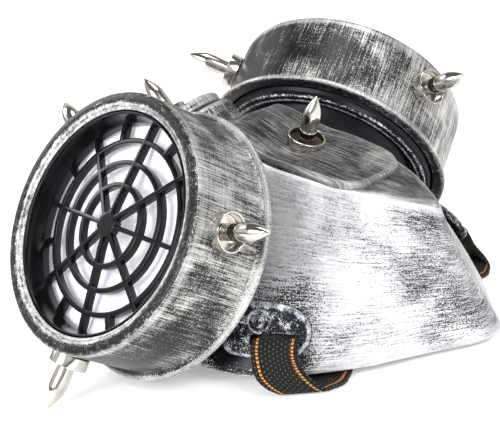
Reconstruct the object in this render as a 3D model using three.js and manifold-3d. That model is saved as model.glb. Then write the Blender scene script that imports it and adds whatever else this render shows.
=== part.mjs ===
// Half-face costume mask in the style of a respirator, with spiked filter drums.
// Millimetres. The mask is drawn in its own frame first: X across (the wearer's left is +X),
// Y from the chin towards the nose, Z out of the face, and the zero point midway between the
// fronts of the two drums. At the end it is tilted as it rests on a table, face side down.
import * as THREE from 'three';
import { mergeVertices } from 'three/addons/utils/BufferGeometryUtils.js';
import Module from 'manifold-3d';

const wasm = await Module();
wasm.setup();

// Clearance between two pieces that touch on the real mask, and the larger one over the
// shell's creases.
const gap = 0.3;
const seatGap = 0.46;

// Face shell
const wall = 2.4;
const cheekHalfWidth = 62.8;
const noseReach = 87.2;
const chinReach = 47.5;
const ridgeRise = 11.6;
const shellDepth = 55.5;
const rimTilt = 13.9;
const ridgeHalfWidth = 20;
const cheekBulge = 4.5;
const shellRows = 22;
const sideColumns = 5;

// Raised panel along the centre strip
const panelRise = 2.2;
const panelEdge = 0.7;
const panelMouthEnd = 9;
const panelNoseEnd = 60.5;
const panelRoundLength = 13;
const panelSquareness = 0.6;
const panelSideSteps = 12;
const panelRoundSteps = 8;

// Filter drums
const drumRadius = 45;
const drumDepth = 33;
const drumWall = 2.2;
const drumSpread = 76.3;
const drumSplay = 55.7;
const flangeRadius = 47.5;
const flangeThickness = 1.6;
const openingRadius = 38.7;
const openingEdge = 1.8;
const lipRound = 2.5;
const lipThickness = 3.5;
const drumSides = 28;
const grilleSides = 16;

// Grille
const grilleFlange = 2.2;
const grilleDepth = 8.5;
const grilleDome = 4.5;
const grilleThickness = 3;
const grilleOpening = 36.2;
const grilleRings = [14, 22, 30];
const grilleHub = 4.5;
const barWidth = 1.8;
const longSpokes = 8;
const spokeTurn = 25.6;
const collarDrop = 1.5;
const collarChamfer = 0.4;
const footFlare = 1.5;

// Filter pad and the black base behind each drum
const padThickness = 3;
const beadRadius = 41.3;
const beadHeight = 3.6;
const beadShoulder = 1.2;
const beadWidth = 5.5;
const neckRadius = 31;
const neckWall = 5;
const neckLength = 30;

// Spikes and their cup washers
const spikeLength = 20.8;
const spikeRadius = 3.25;
const spikeCone = 8.2;
// Columns: share of the spike's radius, share of the cone's length.
const spikeTaper = [[1, 0], [0.78, 0.38], [0.42, 0.75]];
const cupRadius = 6.8;
const cupHeight = 4.5;
const cupWall = 0.7;
const drumSpikeDepth = 13;
const spikeSides = 10;
const cupSides = 12;
const stripSpikePlace = 29.9;
const stripSpikeLean = 35;
const stripSpikeLift = 1.8;
const stripCupFloor = 2.2;
const stripCupSink = 2.5;

// Round valve on the chin
const valveCapRadius = 18.4;
const valveCapThickness = 4;
const valveNeckRadius = 14.5;
const valveNeckHeight = 1.4;
const valveBodyRadius = 21;
const valveEdge = 0.9;
const valveLean = 26.5;
const valvePlace = -25;
const valveHeight = 14.7;
const valveDepth = 26;
const valveSides = 22;

// Strap tabs
const tabSection = 12.1;
const tabDrop = 0.84;
const tabThickness = 2.2;
const tabUpper = 6.8;
const tabLower = 11;
const tabBack = 11.6;
const tabReach = 17.6;
const tabFoot = 5;
const tabFootInset = 4.5;
const tabFootStep = 1;
const tabRootOverlap = 1;
const tabSlopeReach = 0.15;
const studRadius = 2.8;
const studTaper = 0.8;
const studHeight = 1.2;
const studSides = 12;
const slotMiddle = -6;
const slotHeight = 3.8;
const slotSlack = 0.8;
const slotShift = 6;

// Elastic strap: a flat band through both tabs, folded under the rim and round inside the mask.
const strapWidth = 16;
const strapThickness = 1.4;
const strapSteps = 2;
const strapEnd = 11;
const strapRise = 0.5;

// How many times a search along a curve halves its range.
const halvings = 30;

// Tilt of the whole mask as it rests on the tips of the two lower spikes and on the strap.
const restTilt = 11;

const radians = THREE.MathUtils.degToRad;
const vec = (x, y, z) => new THREE.Vector3(x, y, z);
const xAxis = vec(1, 0, 0);
const yAxis = vec(0, 1, 0);

// Closed solids for cutting and joining, and the way back to plain geometry

function welded(geometry) {
  const bare = geometry.clone();
  bare.deleteAttribute('normal');
  bare.deleteAttribute('uv');
  return mergeVertices(bare, 1e-4);
}

function solid(geometry) {
  const shape = welded(geometry);
  return new wasm.Manifold(new wasm.Mesh({
    numProp: 3,
    vertProperties: new Float32Array(shape.attributes.position.array),
    triVerts: new Uint32Array(shape.index.array),
  }));
}

function geometryOf(manifold) {
  const mesh = manifold.getMesh();
  const geometry = new THREE.BufferGeometry();
  geometry.setAttribute('position', new THREE.BufferAttribute(mesh.vertProperties.slice(), 3));
  geometry.setIndex(new THREE.BufferAttribute(mesh.triVerts.slice(), 1));
  geometry.computeVertexNormals();
  return geometry;
}

// A frame with its third axis along the given direction, and its second axis as near to
// the given upward direction as it can be.
function frameAlong(origin, axis, up) {
  const third = axis.clone().normalize();
  const first = up.clone().cross(third).normalize();
  const second = third.clone().cross(first);
  return new THREE.Matrix4().makeBasis(first, second, third).setPosition(origin);
}

// A profile of [radius, height] pairs turned round the Z axis of a frame. A profile listed from
// the top down is taken the other way round, so that its faces point out.
function turned(profile, sides, frame) {
  const points = profile.map(([r, h]) => new THREE.Vector2(r, h));
  if (THREE.ShapeUtils.area(points) < 0) points.reverse();
  const geometry = new THREE.LatheGeometry(points, sides);
  geometry.rotateX(Math.PI / 2);
  return geometry.applyMatrix4(frame);
}

// Face shell
// Each section runs from the middle of the centre strip, over the crease at the strip's edge,
// down a bulged side to the rim. Sections fan from the nose ridge round the cheek to the chin.
// Lengths along Y are shares of the nose reach, or of the chin reach where they are negative.
// Heights are shares of the ridge's rise, or of the shell's depth where they are negative.
// Columns: spine y, spine z, crease x, crease y, crease z, rim x, rim y, bulge.
const shellSections = [
  [0.908, -0.515, 0.000, 0.911, -0.559, 0.000, 1.000, -0.40],
  [0.905, -0.512, 0.060, 0.906, -0.551, 0.041, 0.998, -0.40],
  [0.899, -0.506, 0.110, 0.899, -0.541, 0.081, 0.991, -0.36],
  [0.890, -0.499, 0.160, 0.889, -0.526, 0.121, 0.977, -0.32],
  [0.876, -0.486, 0.225, 0.872, -0.505, 0.169, 0.952, -0.26],
  [0.853, -0.467, 0.305, 0.849, -0.477, 0.232, 0.915, -0.18],
  [0.820, -0.440, 0.400, 0.818, -0.447, 0.312, 0.869, -0.08],
  [0.780, -0.404, 0.510, 0.780, -0.409, 0.398, 0.823, 0.04],
  [0.728, -0.357, 0.645, 0.729, -0.362, 0.494, 0.773, 0.18],
  [0.663, -0.319, 0.780, 0.665, -0.312, 0.597, 0.719, 0.32],
  [0.585, -0.263, 0.910, 0.591, -0.252, 0.701, 0.648, 0.48],
  [0.499, -0.189, 0.970, 0.505, -0.180, 0.804, 0.568, 0.62],
  [0.413, -0.121, 1.000, 0.419, -0.115, 0.908, 0.464, 0.70],
  [0.333, -0.070, 1.000, 0.338, -0.058, 0.979, 0.344, 0.70],
  [0.258, 0.155, 0.980, 0.258, 0.103, 1.000, 0.218, 0.60],
  [0.189, 0.621, 0.950, 0.183, 0.543, 0.995, 0.069, 0.50],
  [0.126, 0.888, 0.920, 0.115, 0.793, 0.947, -0.168, 0.50],
  [0.057, 1.000, 0.860, 0.034, 0.879, 0.844, -0.463, 0.55],
  [-0.063, 0.974, 0.760, -0.105, 0.828, 0.669, -0.716, 0.65],
  [-0.274, 0.603, 0.620, -0.316, 0.474, 0.446, -0.884, 0.75],
  [-0.547, 0.043, 0.380, -0.600, -0.018, 0.223, -0.968, 0.85],
  [-0.800, -0.108, 0.000, -0.853, -0.162, 0.000, -1.000, 0.85],
];
const lengthwise = (share) => share * (share < 0 ? chinReach : noseReach);
const heightwise = (share) => share * (share < 0 ? shellDepth : ridgeRise);
const rimHeight = (y) => -shellDepth - y * Math.tan(radians(rimTilt));

const spineCurve = new THREE.CatmullRomCurve3(
  shellSections.map(([y, z]) => vec(0, lengthwise(y), heightwise(z))));
const creaseCurve = new THREE.CatmullRomCurve3(
  shellSections.map(([, , x, y, z]) => vec(x * ridgeHalfWidth, lengthwise(y), heightwise(z))));
const rimCurve = new THREE.CatmullRomCurve3(shellSections.map(
  ([, , , , , x, y]) => vec(x * cheekHalfWidth, lengthwise(y), rimHeight(lengthwise(y)))));

// How far the side bulges out between two sections of the table.
function bulgeAt(share) {
  const place = share * (shellSections.length - 1);
  const below = Math.min(Math.floor(place), shellSections.length - 2);
  const [from, to] = [shellSections[below][7], shellSections[below + 1][7]];
  return cheekBulge * THREE.MathUtils.lerp(from, to, place - below);
}

function sectionPoints(share) {
  const spine = spineCurve.getPoint(share);
  const crease = creaseCurve.getPoint(share);
  const rim = rimCurve.getPoint(share);
  const outward = rimCurve.getTangent(share).cross(rim.clone().sub(crease)).normalize();
  const points = [spine, spine.clone().lerp(crease, 0.5)];
  for (let k = 0; k <= sideColumns; k += 1) {
    const down = k / sideColumns;
    const bulge = bulgeAt(share) * 4 * down * (1 - down);
    points.push(crease.clone().lerp(rim, down).addScaledVector(outward, bulge));
  }
  return points;
}

// The outside of the shell as an open sheet, both halves stitched along the middle.
function shellSheet() {
  const grid = [];
  for (let k = 0; k <= shellRows; k += 1) grid.push(sectionPoints(k / shellRows));
  grid[0].forEach((point) => point.setX(0));
  grid[shellRows].forEach((point) => point.setX(0));
  const corners = [];
  const put = (a, b, c, flipped) => {
    const side = flipped ? [a, c, b] : [a, b, c];
    side.forEach((p) => corners.push(flipped ? -p.x : p.x, p.y, p.z));
  };
  for (const flipped of [false, true]) {
    for (let k = 0; k < shellRows; k += 1) {
      for (let m = 0; m < grid[k].length - 1; m += 1) {
        put(grid[k][m], grid[k + 1][m], grid[k + 1][m + 1], flipped);
        put(grid[k][m], grid[k + 1][m + 1], grid[k][m + 1], flipped);
      }
    }
  }
  const loose = new THREE.BufferGeometry();
  loose.setAttribute('position', new THREE.Float32BufferAttribute(corners, 3));
  const merged = mergeVertices(loose, 1e-3);
  merged.computeVertexNormals();
  return merged;
}

// A closed solid between two shifted copies of an open sheet: the upper copy is moved out
// along the sheet's normals, and the lower one in along them and then by a fixed vector.
function thickened(skin, out, inward, shift = vec(0, 0, 0)) {
  const place = skin.attributes.position;
  const normal = skin.attributes.normal;
  const count = place.count;
  const corners = new Float32Array(count * 6);
  for (let k = 0; k < count; k += 1) {
    const p = vec().fromBufferAttribute(place, k);
    const n = vec().fromBufferAttribute(normal, k);
    p.clone().addScaledVector(n, out).toArray(corners, k * 3);
    p.clone().addScaledVector(n, -inward).add(shift).toArray(corners, (count + k) * 3);
  }
  const faces = [];
  const edges = new Map();
  const index = skin.index.array;
  for (let k = 0; k < index.length; k += 3) {
    const [a, b, c] = [index[k], index[k + 1], index[k + 2]];
    if (a === b || b === c || c === a) continue;
    faces.push(a, b, c, count + a, count + c, count + b);
    for (const [from, to] of [[a, b], [b, c], [c, a]]) {
      if (edges.has(`${to} ${from}`)) edges.delete(`${to} ${from}`);
      else edges.set(`${from} ${to}`, [from, to]);
    }
  }
  for (const [from, to] of edges.values()) {
    faces.push(from, count + from, count + to, from, count + to, to);
  }
  const geometry = new THREE.BufferGeometry();
  geometry.setAttribute('position', new THREE.BufferAttribute(corners, 3));
  geometry.setIndex(faces);
  return geometry;
}

const outerSkin = shellSheet();

// The point of one of the shell's curves at a distance along Y.
function pointAt(curve, y) {
  let below = 0;
  let above = 1;
  for (let k = 0; k < halvings; k += 1) {
    const middle = (below + above) / 2;
    if (curve.getPoint(middle).y > y) below = middle;
    else above = middle;
  }
  return curve.getPoint(below);
}

// The raised panel: a thick band over the shell, kept inside the strip's outline seen from
// the front.
function panelOutline() {
  const side = [];
  const shoulderPlace = panelNoseEnd - panelRoundLength;
  for (let k = 0; k <= panelSideSteps; k += 1) {
    const y = THREE.MathUtils.lerp(panelMouthEnd, shoulderPlace, k / panelSideSteps);
    side.push([pointAt(creaseCurve, y).x - panelEdge, y]);
  }
  const [shoulderWidth] = side[side.length - 1];
  for (let k = 1; k < panelRoundSteps; k += 1) {
    const turn = (Math.PI / 2) * (k / panelRoundSteps);
    const x = shoulderWidth * Math.cos(turn) ** panelSquareness;
    side.push([x, shoulderPlace + panelRoundLength * Math.sin(turn)]);
  }
  side.push([0, panelNoseEnd]);
  const left = side.slice(0, -1).reverse().map(([x, y]) => [-x, y]);
  return new THREE.Shape([...side, ...left].map(([x, y]) => new THREE.Vector2(x, y)));
}

const farDown = 2 * shellDepth;
const panelPrism = new THREE.ExtrudeGeometry(panelOutline(), { depth: 2 * farDown, bevelEnabled: false });
panelPrism.translate(0, 0, -farDown);
const panelBand = solid(thickened(outerSkin, panelRise, wall / 2)).intersect(solid(panelPrism));
const shellBody = solid(thickened(outerSkin, 0, wall)).add(panelBand);

// Everything under the shell's outer face, grown by the clearance: it cuts what sits on the shell.
const underShell = solid(thickened(outerSkin, seatGap, 0, vec(0, 0, -farDown)));
const panelSeat = panelRise + seatGap;
const underPanel = solid(thickened(outerSkin, panelSeat, 0, vec(0, 0, -farDown)))
  .intersect(solid(panelPrism));
const seatCutter = underShell.add(underPanel);

// What sits inside a drum clears the flats of its many-sided bore.
const drumBore = (drumRadius - drumWall) * Math.cos(Math.PI / drumSides) - gap;

function drumAxis(side) {
  return vec(side * Math.sin(radians(drumSplay)), 0, Math.cos(radians(drumSplay)));
}

// Drum frame: origin at the centre of the front, third axis out of the front, second towards
// the nose.
function drumFrame(side) {
  return frameAlong(vec(side * drumSpread, 0, 0), drumAxis(side), yAxis);
}

function drumBody(frame) {
  const inside = drumRadius - drumWall;
  const corner = lipRound * (1 - Math.SQRT1_2);
  const profile = [
    [openingRadius, -lipThickness],
    [openingRadius, -lipRound / 2],
    [openingRadius + openingEdge, -lipRound / 4],
    [openingRadius + openingEdge + lipRound / 3, 0],
    [drumRadius - lipRound, 0],
    [drumRadius - corner, -corner],
    [drumRadius, -lipRound],
    [drumRadius, -(drumDepth - flangeThickness * 2)],
    [flangeRadius, -(drumDepth - flangeThickness)],
    [flangeRadius, -drumDepth],
    [inside, -drumDepth],
    [inside, -lipThickness],
    [openingRadius, -lipThickness],
  ];
  return turned(profile, drumSides, frame);
}

// Height of the grille's face at a radius: a flat hub on a shallow cone below the drum's front.
function grilleFace(radius) {
  const outward = Math.max(radius - grilleHub, 0) / (grilleOpening - grilleHub);
  return -(grilleDepth - grilleDome * (1 - outward));
}

function grilleBody(frame) {
  const collar = openingRadius * Math.cos(Math.PI / drumSides) - gap;
  const seatTop = -(lipThickness + gap);
  const foot = -(grilleDepth + grilleThickness);
  const dome = [0, grilleHub, grilleOpening];
  const profile = [
    ...dome.map((r) => [r, grilleFace(r)]),
    [collar - collarChamfer, -collarDrop],
    [collar, -collarDrop],
    [collar, seatTop],
    [drumBore, seatTop],
    [drumBore, seatTop - grilleFlange],
    [collar, seatTop - grilleFlange],
    [grilleOpening + footFlare, foot],
    ...dome.slice().reverse().map((r) => [r, grilleFace(r) - grilleThickness]),
  ];
  return turned(profile, grilleSides, frame);
}

// One hole between two rings and two spokes, as a prism right through the grille.
function grilleHole(inner, outer, from, spokes, frame) {
  const to = from + (2 * Math.PI) / spokes;
  const half = barWidth / 2;
  const shape = new THREE.Shape();
  const low = inner + half;
  const high = outer - half;
  const arcSteps = spokes > longSpokes ? 1 : 2;
  const corner = (radius, angle, sign) => angle + sign * Math.asin(half / radius);
  const points = [];
  for (let k = 0; k <= arcSteps; k += 1) {
    const turn = THREE.MathUtils.lerp(corner(low, from, 1), corner(low, to, -1), k / arcSteps);
    points.push(new THREE.Vector2(low * Math.cos(turn), low * Math.sin(turn)));
  }
  for (let k = arcSteps; k >= 0; k -= 1) {
    const turn = THREE.MathUtils.lerp(corner(high, from, 1), corner(high, to, -1), k / arcSteps);
    points.push(new THREE.Vector2(high * Math.cos(turn), high * Math.sin(turn)));
  }
  shape.setFromPoints(points);
  const depth = 2 * (grilleDepth + grilleThickness);
  const prism = new THREE.ExtrudeGeometry(shape, { depth, bevelEnabled: false });
  return prism.translate(0, 0, -depth).applyMatrix4(frame);
}

function grille(drumPlace) {
  const turn = new THREE.Matrix4().makeRotationZ(THREE.MathUtils.degToRad(spokeTurn));
  const frame = drumPlace.clone().multiply(turn);
  let body = solid(grilleBody(frame));
  const radii = [grilleHub - barWidth / 2, ...grilleRings, grilleOpening + barWidth / 2];
  for (let ring = 0; ring < radii.length - 1; ring += 1) {
    const spokes = ring === radii.length - 2 ? 2 * longSpokes : longSpokes;
    for (let k = 0; k < spokes; k += 1) {
      const hole = grilleHole(radii[ring], radii[ring + 1], (2 * Math.PI * k) / spokes, spokes, frame);
      body = body.subtract(solid(hole));
    }
  }
  return geometryOf(body);
}

const padTop = -(grilleDepth + grilleThickness + gap);

function padBody(frame) {
  const padBottom = padTop - padThickness;
  const profile = [[0, padTop], [drumBore, padTop], [drumBore, padBottom], [0, padBottom]];
  return turned(profile, grilleSides, frame);
}

function drumBase(frame) {
  const top = padTop - padThickness - gap;
  const back = -drumDepth;
  const profile = [
    [drumBore, top],
    [drumBore, back],
    [beadRadius, back - beadShoulder],
    [beadRadius - beadWidth / 2, back - beadHeight],
    [beadRadius - beadWidth, back - beadShoulder],
    [neckRadius, back - beadHeight * 2],
    [neckRadius, back - neckLength],
    [neckRadius - neckWall, back - neckLength],
    [neckRadius - neckWall, back + beadHeight],
    [drumBore - drumWall, back + beadHeight],
    [drumBore - drumWall, top],
    [drumBore, top],
  ];
  return geometryOf(solid(turned(profile, drumSides, frame)).subtract(seatCutter));
}

// Room for a drum and its base, with the clearance round them: it cuts the strap tab.
function drumRoom(side) {
  const back = -drumDepth - gap;
  const profile = [
    [0, 0],
    [flangeRadius + gap, 0],
    [flangeRadius + gap, back],
    [beadRadius + gap, back - beadHeight],
    [neckRadius + gap, back - beadHeight * 2],
    [neckRadius + gap, back - neckLength],
    [0, back - neckLength],
  ];
  return solid(turned(profile, drumSides, drumFrame(side)));
}

// Spikes and cups stand on a frame whose third axis points away from the surface. A cup's
// floor is as thick as its wall, or thicker where the cup is cut to a slanted surface.
function spikeBody(frame, floor = cupWall) {
  const foot = floor + 2 * gap;
  const shoulder = spikeLength - spikeCone;
  const profile = [
    [0, foot],
    [spikeRadius, foot],
    ...spikeTaper.map(([width, along]) => [spikeRadius * width, shoulder + spikeCone * along]),
    [0, spikeLength],
  ];
  return turned(profile, spikeSides, frame);
}

function cupBody(frame, floor = cupWall, underside = gap) {
  const inside = cupRadius - cupWall;
  const profile = [
    [0, underside],
    [cupRadius, underside],
    [cupRadius, cupHeight],
    [inside, cupHeight],
    [inside, gap + floor],
    [0, gap + floor],
  ];
  return turned(profile, cupSides, frame);
}

// A point on the outside of the side, at a section number and a share of the way down it.
function sidePoint(section, down) {
  const share = section / (shellSections.length - 1);
  const points = sectionPoints(share);
  const place = 2 + down * sideColumns;
  const below = Math.min(Math.floor(place), points.length - 2);
  return points[below].clone().lerp(points[below + 1], place - below);
}

// Tab frame: origin on the shell under the middle of the slot, first axis along the shell
// towards the nose, second up the shell, third out of it.
function tabFrame() {
  const origin = sidePoint(tabSection, tabDrop);
  const along = sidePoint(tabSection - 1, tabDrop).sub(sidePoint(tabSection + 1, tabDrop));
  along.normalize();
  const upward = sidePoint(tabSection, tabDrop - tabSlopeReach)
    .sub(sidePoint(tabSection, tabDrop + tabSlopeReach));
  const outward = along.clone().cross(upward).normalize();
  const across = outward.clone().cross(along);
  return new THREE.Matrix4().makeBasis(along, across, outward).setPosition(origin);
}

const strapRoom = strapThickness + 2 * gap + strapRise;

// Outline of the tab. Lengths along the shell are shares of the reach towards the nose, or of
// the back part where they are negative. Heights are shares of the part over the slot's middle,
// or of the part under it where they are negative. Columns: along, height.
const tabOutline = [
  [-1, -0.5], [-0.74, -1], [0.73, -1], [0.89, -0.55], [0.98, -0.1], [1, 0.3],
  [0.93, 0.55], [0.72, 0.8], [0.35, 0.95], [-0.4, 1], [-0.8, 0.9], [-1, 0.75],
];

// A tongue on the side beside the drum, with a foot on the shell, a stud, and a slot whose
// lower bar stands off the shell for the strap to pass behind.
function tabBody() {
  const top = tabUpper - slotMiddle;
  const bottom = tabLower + slotMiddle;
  const halfSlot = (strapWidth + 2 * slotSlack) / 2;
  const outline = new THREE.Shape(tabOutline.map(([along, height]) => new THREE.Vector2(
    along * (along < 0 ? tabBack : tabReach) - slotShift,
    height * (height < 0 ? bottom : top),
  )));
  const slot = new THREE.Path([
    [-halfSlot, -slotHeight / 2],
    [-halfSlot, slotHeight / 2],
    [halfSlot, slotHeight / 2],
    [halfSlot, -slotHeight / 2],
  ].map(([u, v]) => new THREE.Vector2(u, v)));
  outline.holes.push(slot);
  const plate = new THREE.ExtrudeGeometry(outline, { depth: tabThickness, bevelEnabled: false });
  plate.translate(0, 0, strapRoom);
  const footBottom = slotHeight / 2 + tabFootStep;
  const footTop = top - tabFootStep;
  const footRoot = strapRoom + tabRootOverlap;
  const foot = new THREE.BoxGeometry(
    tabBack + tabReach - 2 * tabFootInset, footTop - footBottom, tabFoot + footRoot);
  foot.translate(
    (tabReach - tabBack) / 2 - slotShift - tabFootStep,
    (footTop + footBottom) / 2,
    (footRoot - tabFoot) / 2,
  );
  const stud = new THREE.CylinderGeometry(
    studRadius * studTaper, studRadius, studHeight + tabRootOverlap, studSides);
  const studMiddle = strapRoom + tabThickness + (studHeight - tabRootOverlap) / 2;
  stud.rotateX(Math.PI / 2).translate(-slotShift, -slotMiddle, studMiddle);
  const tab = solid(plate).add(solid(foot)).add(solid(stud));
  return geometryOf(tab).applyMatrix4(tabFrame());
}

function mirrored(geometry) {
  const copy = geometry.clone();
  copy.scale(-1, 1, 1);
  copy.setIndex([...copy.index.array].reverse());
  copy.computeVertexNormals();
  return copy;
}

// Spikes on the drums: the turn from the nose direction round the drum's wall.
const lowSpikeTurn = 245;
const drumSpikes = {
  left: [['nose', 354], ['chin', 128], ['low', lowSpikeTurn]],
  right: [['nose', 9], ['chin', 130], ['low', lowSpikeTurn]],
};

function drumSpikeFrame(side, turn) {
  const axis = drumAxis(side);
  const inward = vec(-axis.z, 0, axis.x).multiplyScalar(side);
  const out = yAxis.clone().multiplyScalar(Math.cos(radians(turn)))
    .addScaledVector(inward, Math.sin(radians(turn)));
  const foot = vec(side * drumSpread, 0, 0).addScaledVector(axis, -drumSpikeDepth)
    .addScaledVector(out, drumRadius);
  return frameAlong(foot, out, axis);
}

// The round valve and the spike on it share an axis that leans towards the chin.
const valveAxis = vec(0, -Math.sin(radians(valveLean)), Math.cos(radians(valveLean)));
const valveFrame = frameAlong(vec(0, valvePlace, valveHeight), valveAxis, xAxis);

function valveBody() {
  const neckTop = -valveCapThickness;
  const bodyTop = neckTop - valveNeckHeight;
  const profile = [
    [0, 0],
    [valveCapRadius - valveEdge, 0],
    [valveCapRadius, -valveEdge],
    [valveCapRadius, neckTop],
    [valveNeckRadius, neckTop],
    [valveNeckRadius, bodyTop],
    [valveBodyRadius - valveEdge, bodyTop],
    [valveBodyRadius, bodyTop - valveEdge],
    [valveBodyRadius, -valveDepth],
    [0, -valveDepth],
  ];
  return geometryOf(solid(turned(profile, valveSides, valveFrame)).subtract(seatCutter));
}

// The strip's spike stands on the raised panel and leans towards the nose.
function stripSpikeFrame() {
  const lean = radians(stripSpikeLean);
  const out = vec(0, Math.sin(lean), Math.cos(lean));
  const foot = pointAt(spineCurve, stripSpikePlace);
  return frameAlong(foot.addScaledVector(out, stripSpikeLift), out, xAxis);
}

// Elastic strap
// The table top goes through the tips of the two low drum spikes, at the rest tilt.
const restNormal = vec(0, Math.sin(radians(restTilt)), Math.cos(radians(restTilt)));
const restAlong = vec(0, restNormal.z, -restNormal.y);
const lowTip = vec(0, 0, spikeLength).applyMatrix4(drumSpikeFrame(1, lowSpikeTurn));
const restLevel = lowTip.dot(restNormal);

// Where the strap runs after the tab: first down to the table, then folded under the rim, then
// turned on its edge along the inside of the cheek to the chin.
// Columns: x as a share of the cheek's half width, y as a share of the nose or chin reach,
// lift over the table in half strap widths, slant of the width, standing (0 flat, 1 on edge).
const strapRun = [
  [0.976, 0.500, 0.90, -0.60, 0.10],
  [0.972, 0.535, 0.42, -0.62, 0.05],
  [0.940, 0.562, 0.14, -0.60, 0.00],
  [0.885, 0.572, 0.09, -0.50, 0.00],
  [0.800, 0.580, 0.09, -0.20, 0.00],
  [0.700, 0.568, 0.09, 0.10, 0.00],
  [0.600, 0.548, 0.12, 0.20, 0.05],
  [0.510, 0.510, 0.38, 0.25, 0.25],
  [0.450, 0.450, 0.75, 0.20, 0.60],
  [0.425, 0.370, 1.03, 0.00, 1.00],
  [0.460, 0.220, 1.06, 0.00, 1.00],
  [0.510, 0.040, 1.06, 0.00, 1.00],
  [0.500, -0.240, 1.06, 0.00, 1.00],
  [0.380, -0.500, 1.06, 0.00, 1.00],
  [0.200, -0.660, 1.06, 0.00, 1.00],
];

// The strap's middle line and the direction across it, from its sewn end at the left tab
// round to the middle of the chin.
function strapStations() {
  const frame = tabFrame();
  const across = vec().setFromMatrixColumn(frame, 0);
  const out = strapRoom + tabThickness + gap + strapRise / 2 + strapThickness / 2;
  const behind = gap + strapRise + strapThickness / 2;
  const bar = tabLower + slotMiddle;
  const [throughSlot, overSlotEdge] = [0.1, 0.85].map((share) => (share * slotHeight) / 2);
  const onTab = [
    [-strapEnd, behind],
    [-bar, behind],
    [-overSlotEdge, behind],
    [-throughSlot, strapRoom],
    [-throughSlot, strapRoom + tabThickness],
    [-overSlotEdge, out],
    [-bar, out],
  ].map(([v, h]) => ({ at: vec(0, v, h).applyMatrix4(frame), across }));
  const run = strapRun.map(([x, y, lift, slant, standing]) => {
    const level = restLevel + lift * strapWidth / 2;
    const far = lengthwise(y);
    return {
      at: vec(x * cheekHalfWidth, far, (level - restNormal.y * far) / restNormal.z),
      across: xAxis.clone().multiplyScalar(slant).addScaledVector(restAlong, 1 - standing)
        .addScaledVector(restNormal, standing).normalize(),
    };
  });
  return [...onTab, ...run];
}

function strapBody() {
  const left = strapStations();
  const turnOver = ({ at, across }) => ({
    at: vec(-at.x, at.y, at.z),
    across: vec(-across.x, across.y, across.z),
  });
  const all = [...left, ...left.slice().reverse().map(turnOver)];
  const line = new THREE.CatmullRomCurve3(all.map(({ at }) => at));
  const width = new THREE.CatmullRomCurve3(all.map(({ across }) => across));
  const rings = (all.length - 1) * strapSteps;
  const corners = [];
  for (let k = 0; k <= rings; k += 1) {
    const across = width.getPoint(k / rings).normalize();
    const through = line.getTangent(k / rings).cross(across).normalize();
    const middle = line.getPoint(k / rings);
    for (const [u, v] of [[-1, -1], [1, -1], [1, 1], [-1, 1]]) {
      const corner = middle.clone().addScaledVector(across, u * strapWidth / 2)
        .addScaledVector(through, v * strapThickness / 2);
      corners.push(corner.x, corner.y, corner.z);
    }
  }
  const faces = [0, 2, 1, 0, 3, 2];
  for (let k = 0; k < rings; k += 1) {
    for (let m = 0; m < 4; m += 1) {
      const a = k * 4 + m;
      const b = k * 4 + ((m + 1) % 4);
      faces.push(a, b, b + 4, a, b + 4, a + 4);
    }
  }
  const last = rings * 4;
  faces.push(last, last + 1, last + 2, last, last + 2, last + 3);
  const band = new THREE.BufferGeometry();
  band.setAttribute('position', new THREE.Float32BufferAttribute(corners, 3));
  band.setIndex(faces);
  band.computeVertexNormals();
  return band;
}

// Materials
const finish = {
  brushed: { color: '#8c8c8e', roughness: 0.45, metalness: 0.6 },
  black: { color: '#141418', roughness: 0.35, metalness: 0.0 },
  chrome: { color: '#d9d4c8', roughness: 0.12, metalness: 1.0 },
  pad: { color: '#dcd8ea', roughness: 0.9, metalness: 0.0 },
  webbing: { color: '#1c1c1a', roughness: 0.85, metalness: 0.0 },
};

const mask = new THREE.Group();

function addPiece(group, name, geometry, look) {
  const mesh = new THREE.Mesh(geometry, new THREE.MeshStandardMaterial(finish[look]));
  mesh.name = name;
  group.add(mesh);
}

addPiece(mask, 'face_shell', geometryOf(shellBody), 'brushed');
addPiece(mask, 'chin_valve', valveBody(), 'brushed');

const tabOnShell = geometryOf(solid(tabBody()).subtract(seatCutter).subtract(drumRoom(1)));
for (const [word, side] of [['left', 1], ['right', -1]]) {
  const frame = drumFrame(side);
  addPiece(mask, `drum_${word}`, drumBody(frame), 'brushed');
  addPiece(mask, `grille_${word}`, grille(frame), 'black');
  addPiece(mask, `filter_pad_${word}`, padBody(frame), 'pad');
  addPiece(mask, `drum_base_${word}`, drumBase(frame), 'black');
  addPiece(mask, `strap_tab_${word}`, side > 0 ? tabOnShell : mirrored(tabOnShell), 'brushed');
  for (const [place, turn] of drumSpikes[word]) {
    const spikeFrame = drumSpikeFrame(side, turn);
    addPiece(mask, `spike_cup_${word}_${place}`, cupBody(spikeFrame), 'chrome');
    addPiece(mask, `spike_${word}_${place}`, spikeBody(spikeFrame), 'chrome');
  }
}

addPiece(mask, 'spike_cup_valve', cupBody(valveFrame), 'chrome');
addPiece(mask, 'spike_valve', spikeBody(valveFrame), 'chrome');
const stripFrame = stripSpikeFrame();
const stripCup = solid(cupBody(stripFrame, stripCupFloor, -stripCupSink)).subtract(seatCutter);
addPiece(mask, 'spike_cup_strip', geometryOf(stripCup), 'chrome');
addPiece(mask, 'spike_strip', spikeBody(stripFrame, stripCupFloor), 'chrome');
addPiece(mask, 'elastic_strap', strapBody(), 'webbing');

// Tilt the mask as it rests, then bring the middle of its footprint to the zero point.
mask.rotation.x = radians(restTilt);
const whole = new THREE.Group();
whole.add(mask);
whole.updateMatrixWorld(true);
const box = new THREE.Box3().setFromObject(whole, true);
mask.position.set(-(box.min.x + box.max.x) / 2, -(box.min.y + box.max.y) / 2, -box.min.z);

export default whole;
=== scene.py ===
"""Looks for a costume half mask with two spiked filter drums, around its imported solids.

Shapes are worked out in millimetres in the mask's own frame: X towards the wearer's left, Y from
the chin to the nose, Z out of the face, zero midway between the fronts of the two drums. They
are then turned by the tilt at which the mask rests, and moved onto the table.
"""

import math

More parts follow.
